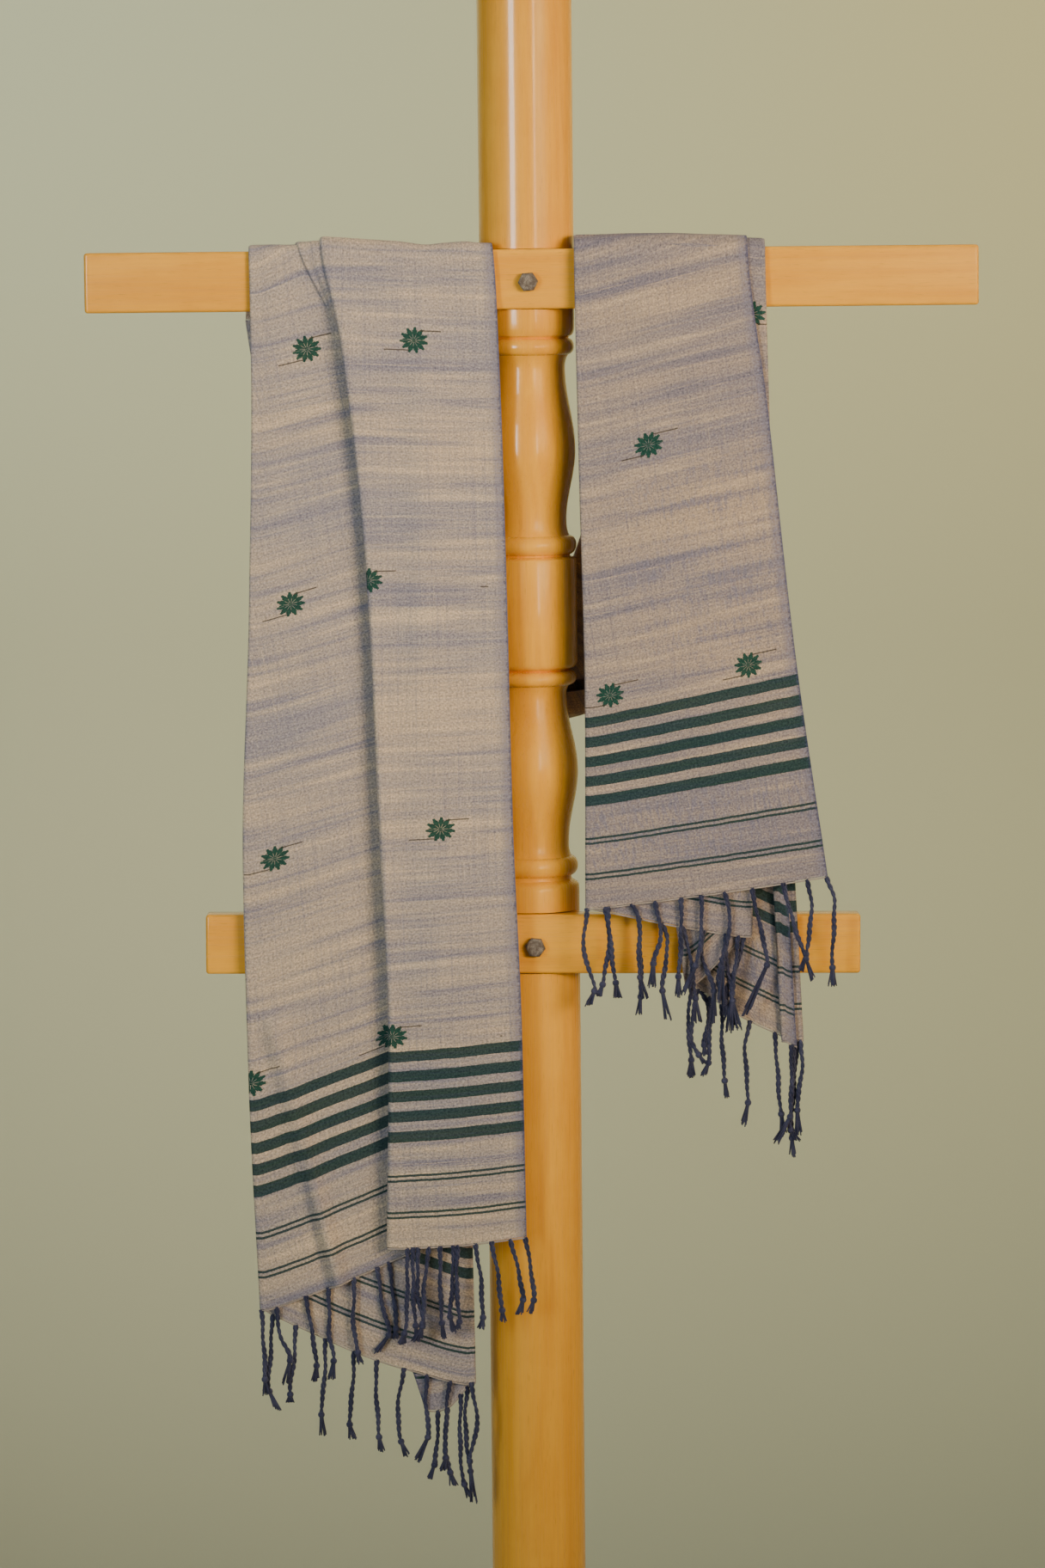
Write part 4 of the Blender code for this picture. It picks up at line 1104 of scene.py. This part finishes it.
def yarn_group():
    """Navy and slate fibres; where Binding is 1 the paler threads of the cloth."""
    given, made = new_group("plied_yarn", (("Place", "Vector"), ("Binding", "Float")))
    place = given["Place"]
    tone = cloud(scaled(place, (0.12, 0.12, 0.06)), 3.0, 0.6)
    fibre = cloud(scaled(place, (3.0, 3.0, 0.8)), 3.0, 0.7)
    colour = blend(between(tone, 0.4, 0.65), YARN_NAVY, YARN_SLATE)
    colour = blend(between(fibre, 0.5, 0.72, 0.0, 0.7), colour, YARN_SLATE)
    colour = blend(between(fibre, 0.45, 0.3, 0.0, 0.7), colour, YARN_INK)
    pale = blend(between(fibre, 0.42, 0.6), LILAC, OAT)
    colour = blend(given["Binding"], colour, pale)
    return give(made, colour, between(tone, 0.3, 0.7, 0.8, 0.92), fibre)


YARN = yarn_group()


def yarn_material():
    fluff = {"Sheen Weight": 0.15, "Specular IOR Level": 0.25}
    made, placed = finish_shader("plied_yarn", YARN, place_in_mm, 0.6, 0.3, fluff)
    share = made.node_tree.nodes.new("ShaderNodeAttribute")
    share.attribute_name = "binding"
    feed(placed.inputs["Binding"], share.outputs["Fac"])
    return made


YARN_MATERIAL = yarn_material()


def tubes(paths, radii, sides):
    """Closed tubes round many paths at once: paths (n, stations, 3), radii (n, stations).

    Each ring is centre + radius (cos a, sin a) in the plane square to the path.
    """
    count, stations = radii.shape
    along = unit(np.gradient(paths, axis=1))
    first = unit(np.cross(along, np.array([0.0, 1.0, 0.03])))
    second = np.cross(along, first)
    turn = 2 * math.pi * np.arange(sides) / sides
    ring = np.cos(turn)[:, None] * first[:, :, None] + np.sin(turn)[:, None] * second[:, :, None]
    points = paths[:, :, None] + radii[..., None, None] * ring
    body = grid_faces(stations, sides, wrap=True)
    faces = (body[None] + (np.arange(count) * stations * sides)[:, None, None]).reshape(-1, 4).tolist()
    start = np.arange(sides)[::-1]
    end = (stations - 1) * sides + np.arange(sides)
    for k in range(count):
        faces.append((start + k * stations * sides).tolist())
        faces.append((end + k * stations * sides).tolist())
    return points.reshape(-1, 3), faces


def hem_points(hem, layers, cords):
    """Where each cord leaves its layer of the hem: the hem point with the cord's x."""
    roots = []
    for cord in cords:
        own = hem[layers == cord[0]]
        order = np.argsort(own[:, 0])
        own = own[order]
        roots.append([cord[1], *(np.interp(cord[1], own[:, 0], own[:, k]) for k in (1, 2))])
    return np.array(roots, float)


def cord_paths(roots, cords, stations):
    """Each cord's centre line from root to knot, a smooth run of sideways over down, and its tuft's tip."""
    paths = []
    tufts = []
    for number, (root, cord) in enumerate(zip(roots, cords)):
        down = np.array([0.0, cord[3], cord[5], cord[7]], float)
        sideways = np.array([0.0, cord[2], cord[4], cord[6]], float)
        d = np.linspace(0.0, down[2], stations)
        sway = 0.9 * math.sin(2.1 * number) * np.sin(math.pi * d / down[2])
        curl = 0.35 * np.sin(d / 4.5 + number)
        x = root[0] + smooth_run(down, sideways, d) + curl * np.minimum(d / 10.0, 1.0)
        y = root[1] + sway + 0.25 * np.sin(d / 5.0 + 2 * number)
        paths.append(join(x, y, root[2] - BINDING_RADIUS - d))
        away = (sideways[3], sway[-1] + 0.6 * math.sin(number), -down[3])
        tufts.append(root + np.array(away))
    return np.array(paths), np.array(tufts)


def build_fringe(name, node, hem, layers, cords):
    """Binding roll, plied cords, knots and tufts, in one mesh with a binding share on its points."""
    rng = np.random.default_rng(11)
    parts = []
    faces = []
    binding = []

    def add_tubes(paths, radii, sides, share=0.0):
        points, rings = tubes(paths, radii, sides)
        offset = sum(len(p) for p in parts)
        faces.extend([v + offset for v in ring] for ring in rings)
        parts.append(points)
        binding.append(np.full(len(points), share))

    roll = hem[None] - np.array([0.0, 0.0, BINDING_RADIUS + 0.45])
    add_tubes(roll, np.full(roll.shape[:2], BINDING_RADIUS), 6, 1.0)
    roots = hem_points(hem, layers, cords)
    stations = 46
    paths, tips = cord_paths(roots, cords, stations)
    run = even_steps(stations)[None, :] * np.array([c[5] for c in cords])[:, None]
    phase = 2 * math.pi * run / PLY_PITCH + np.arange(len(cords))[:, None]
    taper = 0.85 + 0.15 * np.cos(2 * math.pi * run / 37.0)
    for half in (0.0, math.pi):
        shift = join(np.cos(phase + half), np.sin(phase + half), 0.0) * PLY_APART
        add_tubes(paths + shift * taper[..., None], PLY_RADIUS * taper, 6)
    knots = paths[:, -1]
    lean = tips - knots
    length = np.linalg.norm(lean, axis=1, keepdims=True)
    lean = lean / length
    s = np.linspace(-1.0, 1.0, 9)
    body = knots[:, None] + lean[:, None] * (s[None, :, None] * 2.4 + 1.2)
    girth = np.broadcast_to(0.6 + 1.95 * np.sqrt(np.maximum(1 - s**2, 0.0)), (len(cords), 9))
    add_tubes(body, girth, 8)
    ends = 15
    t = even_steps(6)
    spread = rng.uniform(0.0, 2 * math.pi, (len(cords), ends))
    reach = rng.uniform(0.3, 1.0, (len(cords), ends)) * 3.3
    size = rng.uniform(0.8, 1.12, (len(cords), ends)) * np.maximum(length - 2.0, 5.0)
    side = join(np.cos(spread), np.sin(spread), 0.0) * reach[..., None]
    start = knots[:, None] + lean[:, None] * 2.0
    flare = (t**1.2)[None, None, :, None]
    ends_path = start[:, :, None] + lean[:, None, None] * size[..., None, None] * t[None, None, :, None]
    ends_path = ends_path + side[:, :, None] * (0.25 + 0.75 * flare)
    width = np.broadcast_to(0.78 - 0.34 * t, (len(cords) * ends, 6))
    add_tubes(ends_path.reshape(-1, 6, 3), width, 4)
    mesh = make_mesh(name, np.concatenate(parts), faces, 60.0)
    share = mesh.attributes.new("binding", "FLOAT", "POINT")
    share.data.foreach_set("value", np.concatenate(binding).astype(np.float32))
    mesh.materials.append(YARN_MATERIAL)
    fringe = add_object(name, mesh)
    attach(fringe, "root")
    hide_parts(node)
    return fringe


left_fringe = build_fringe("corded_left_fringe", "fringe_left", left_hem, left_layers, LEFT_CORDS)
right_fringe = build_fringe("corded_right_fringe", "fringe_right", right_hem, right_layers, RIGHT_CORDS)
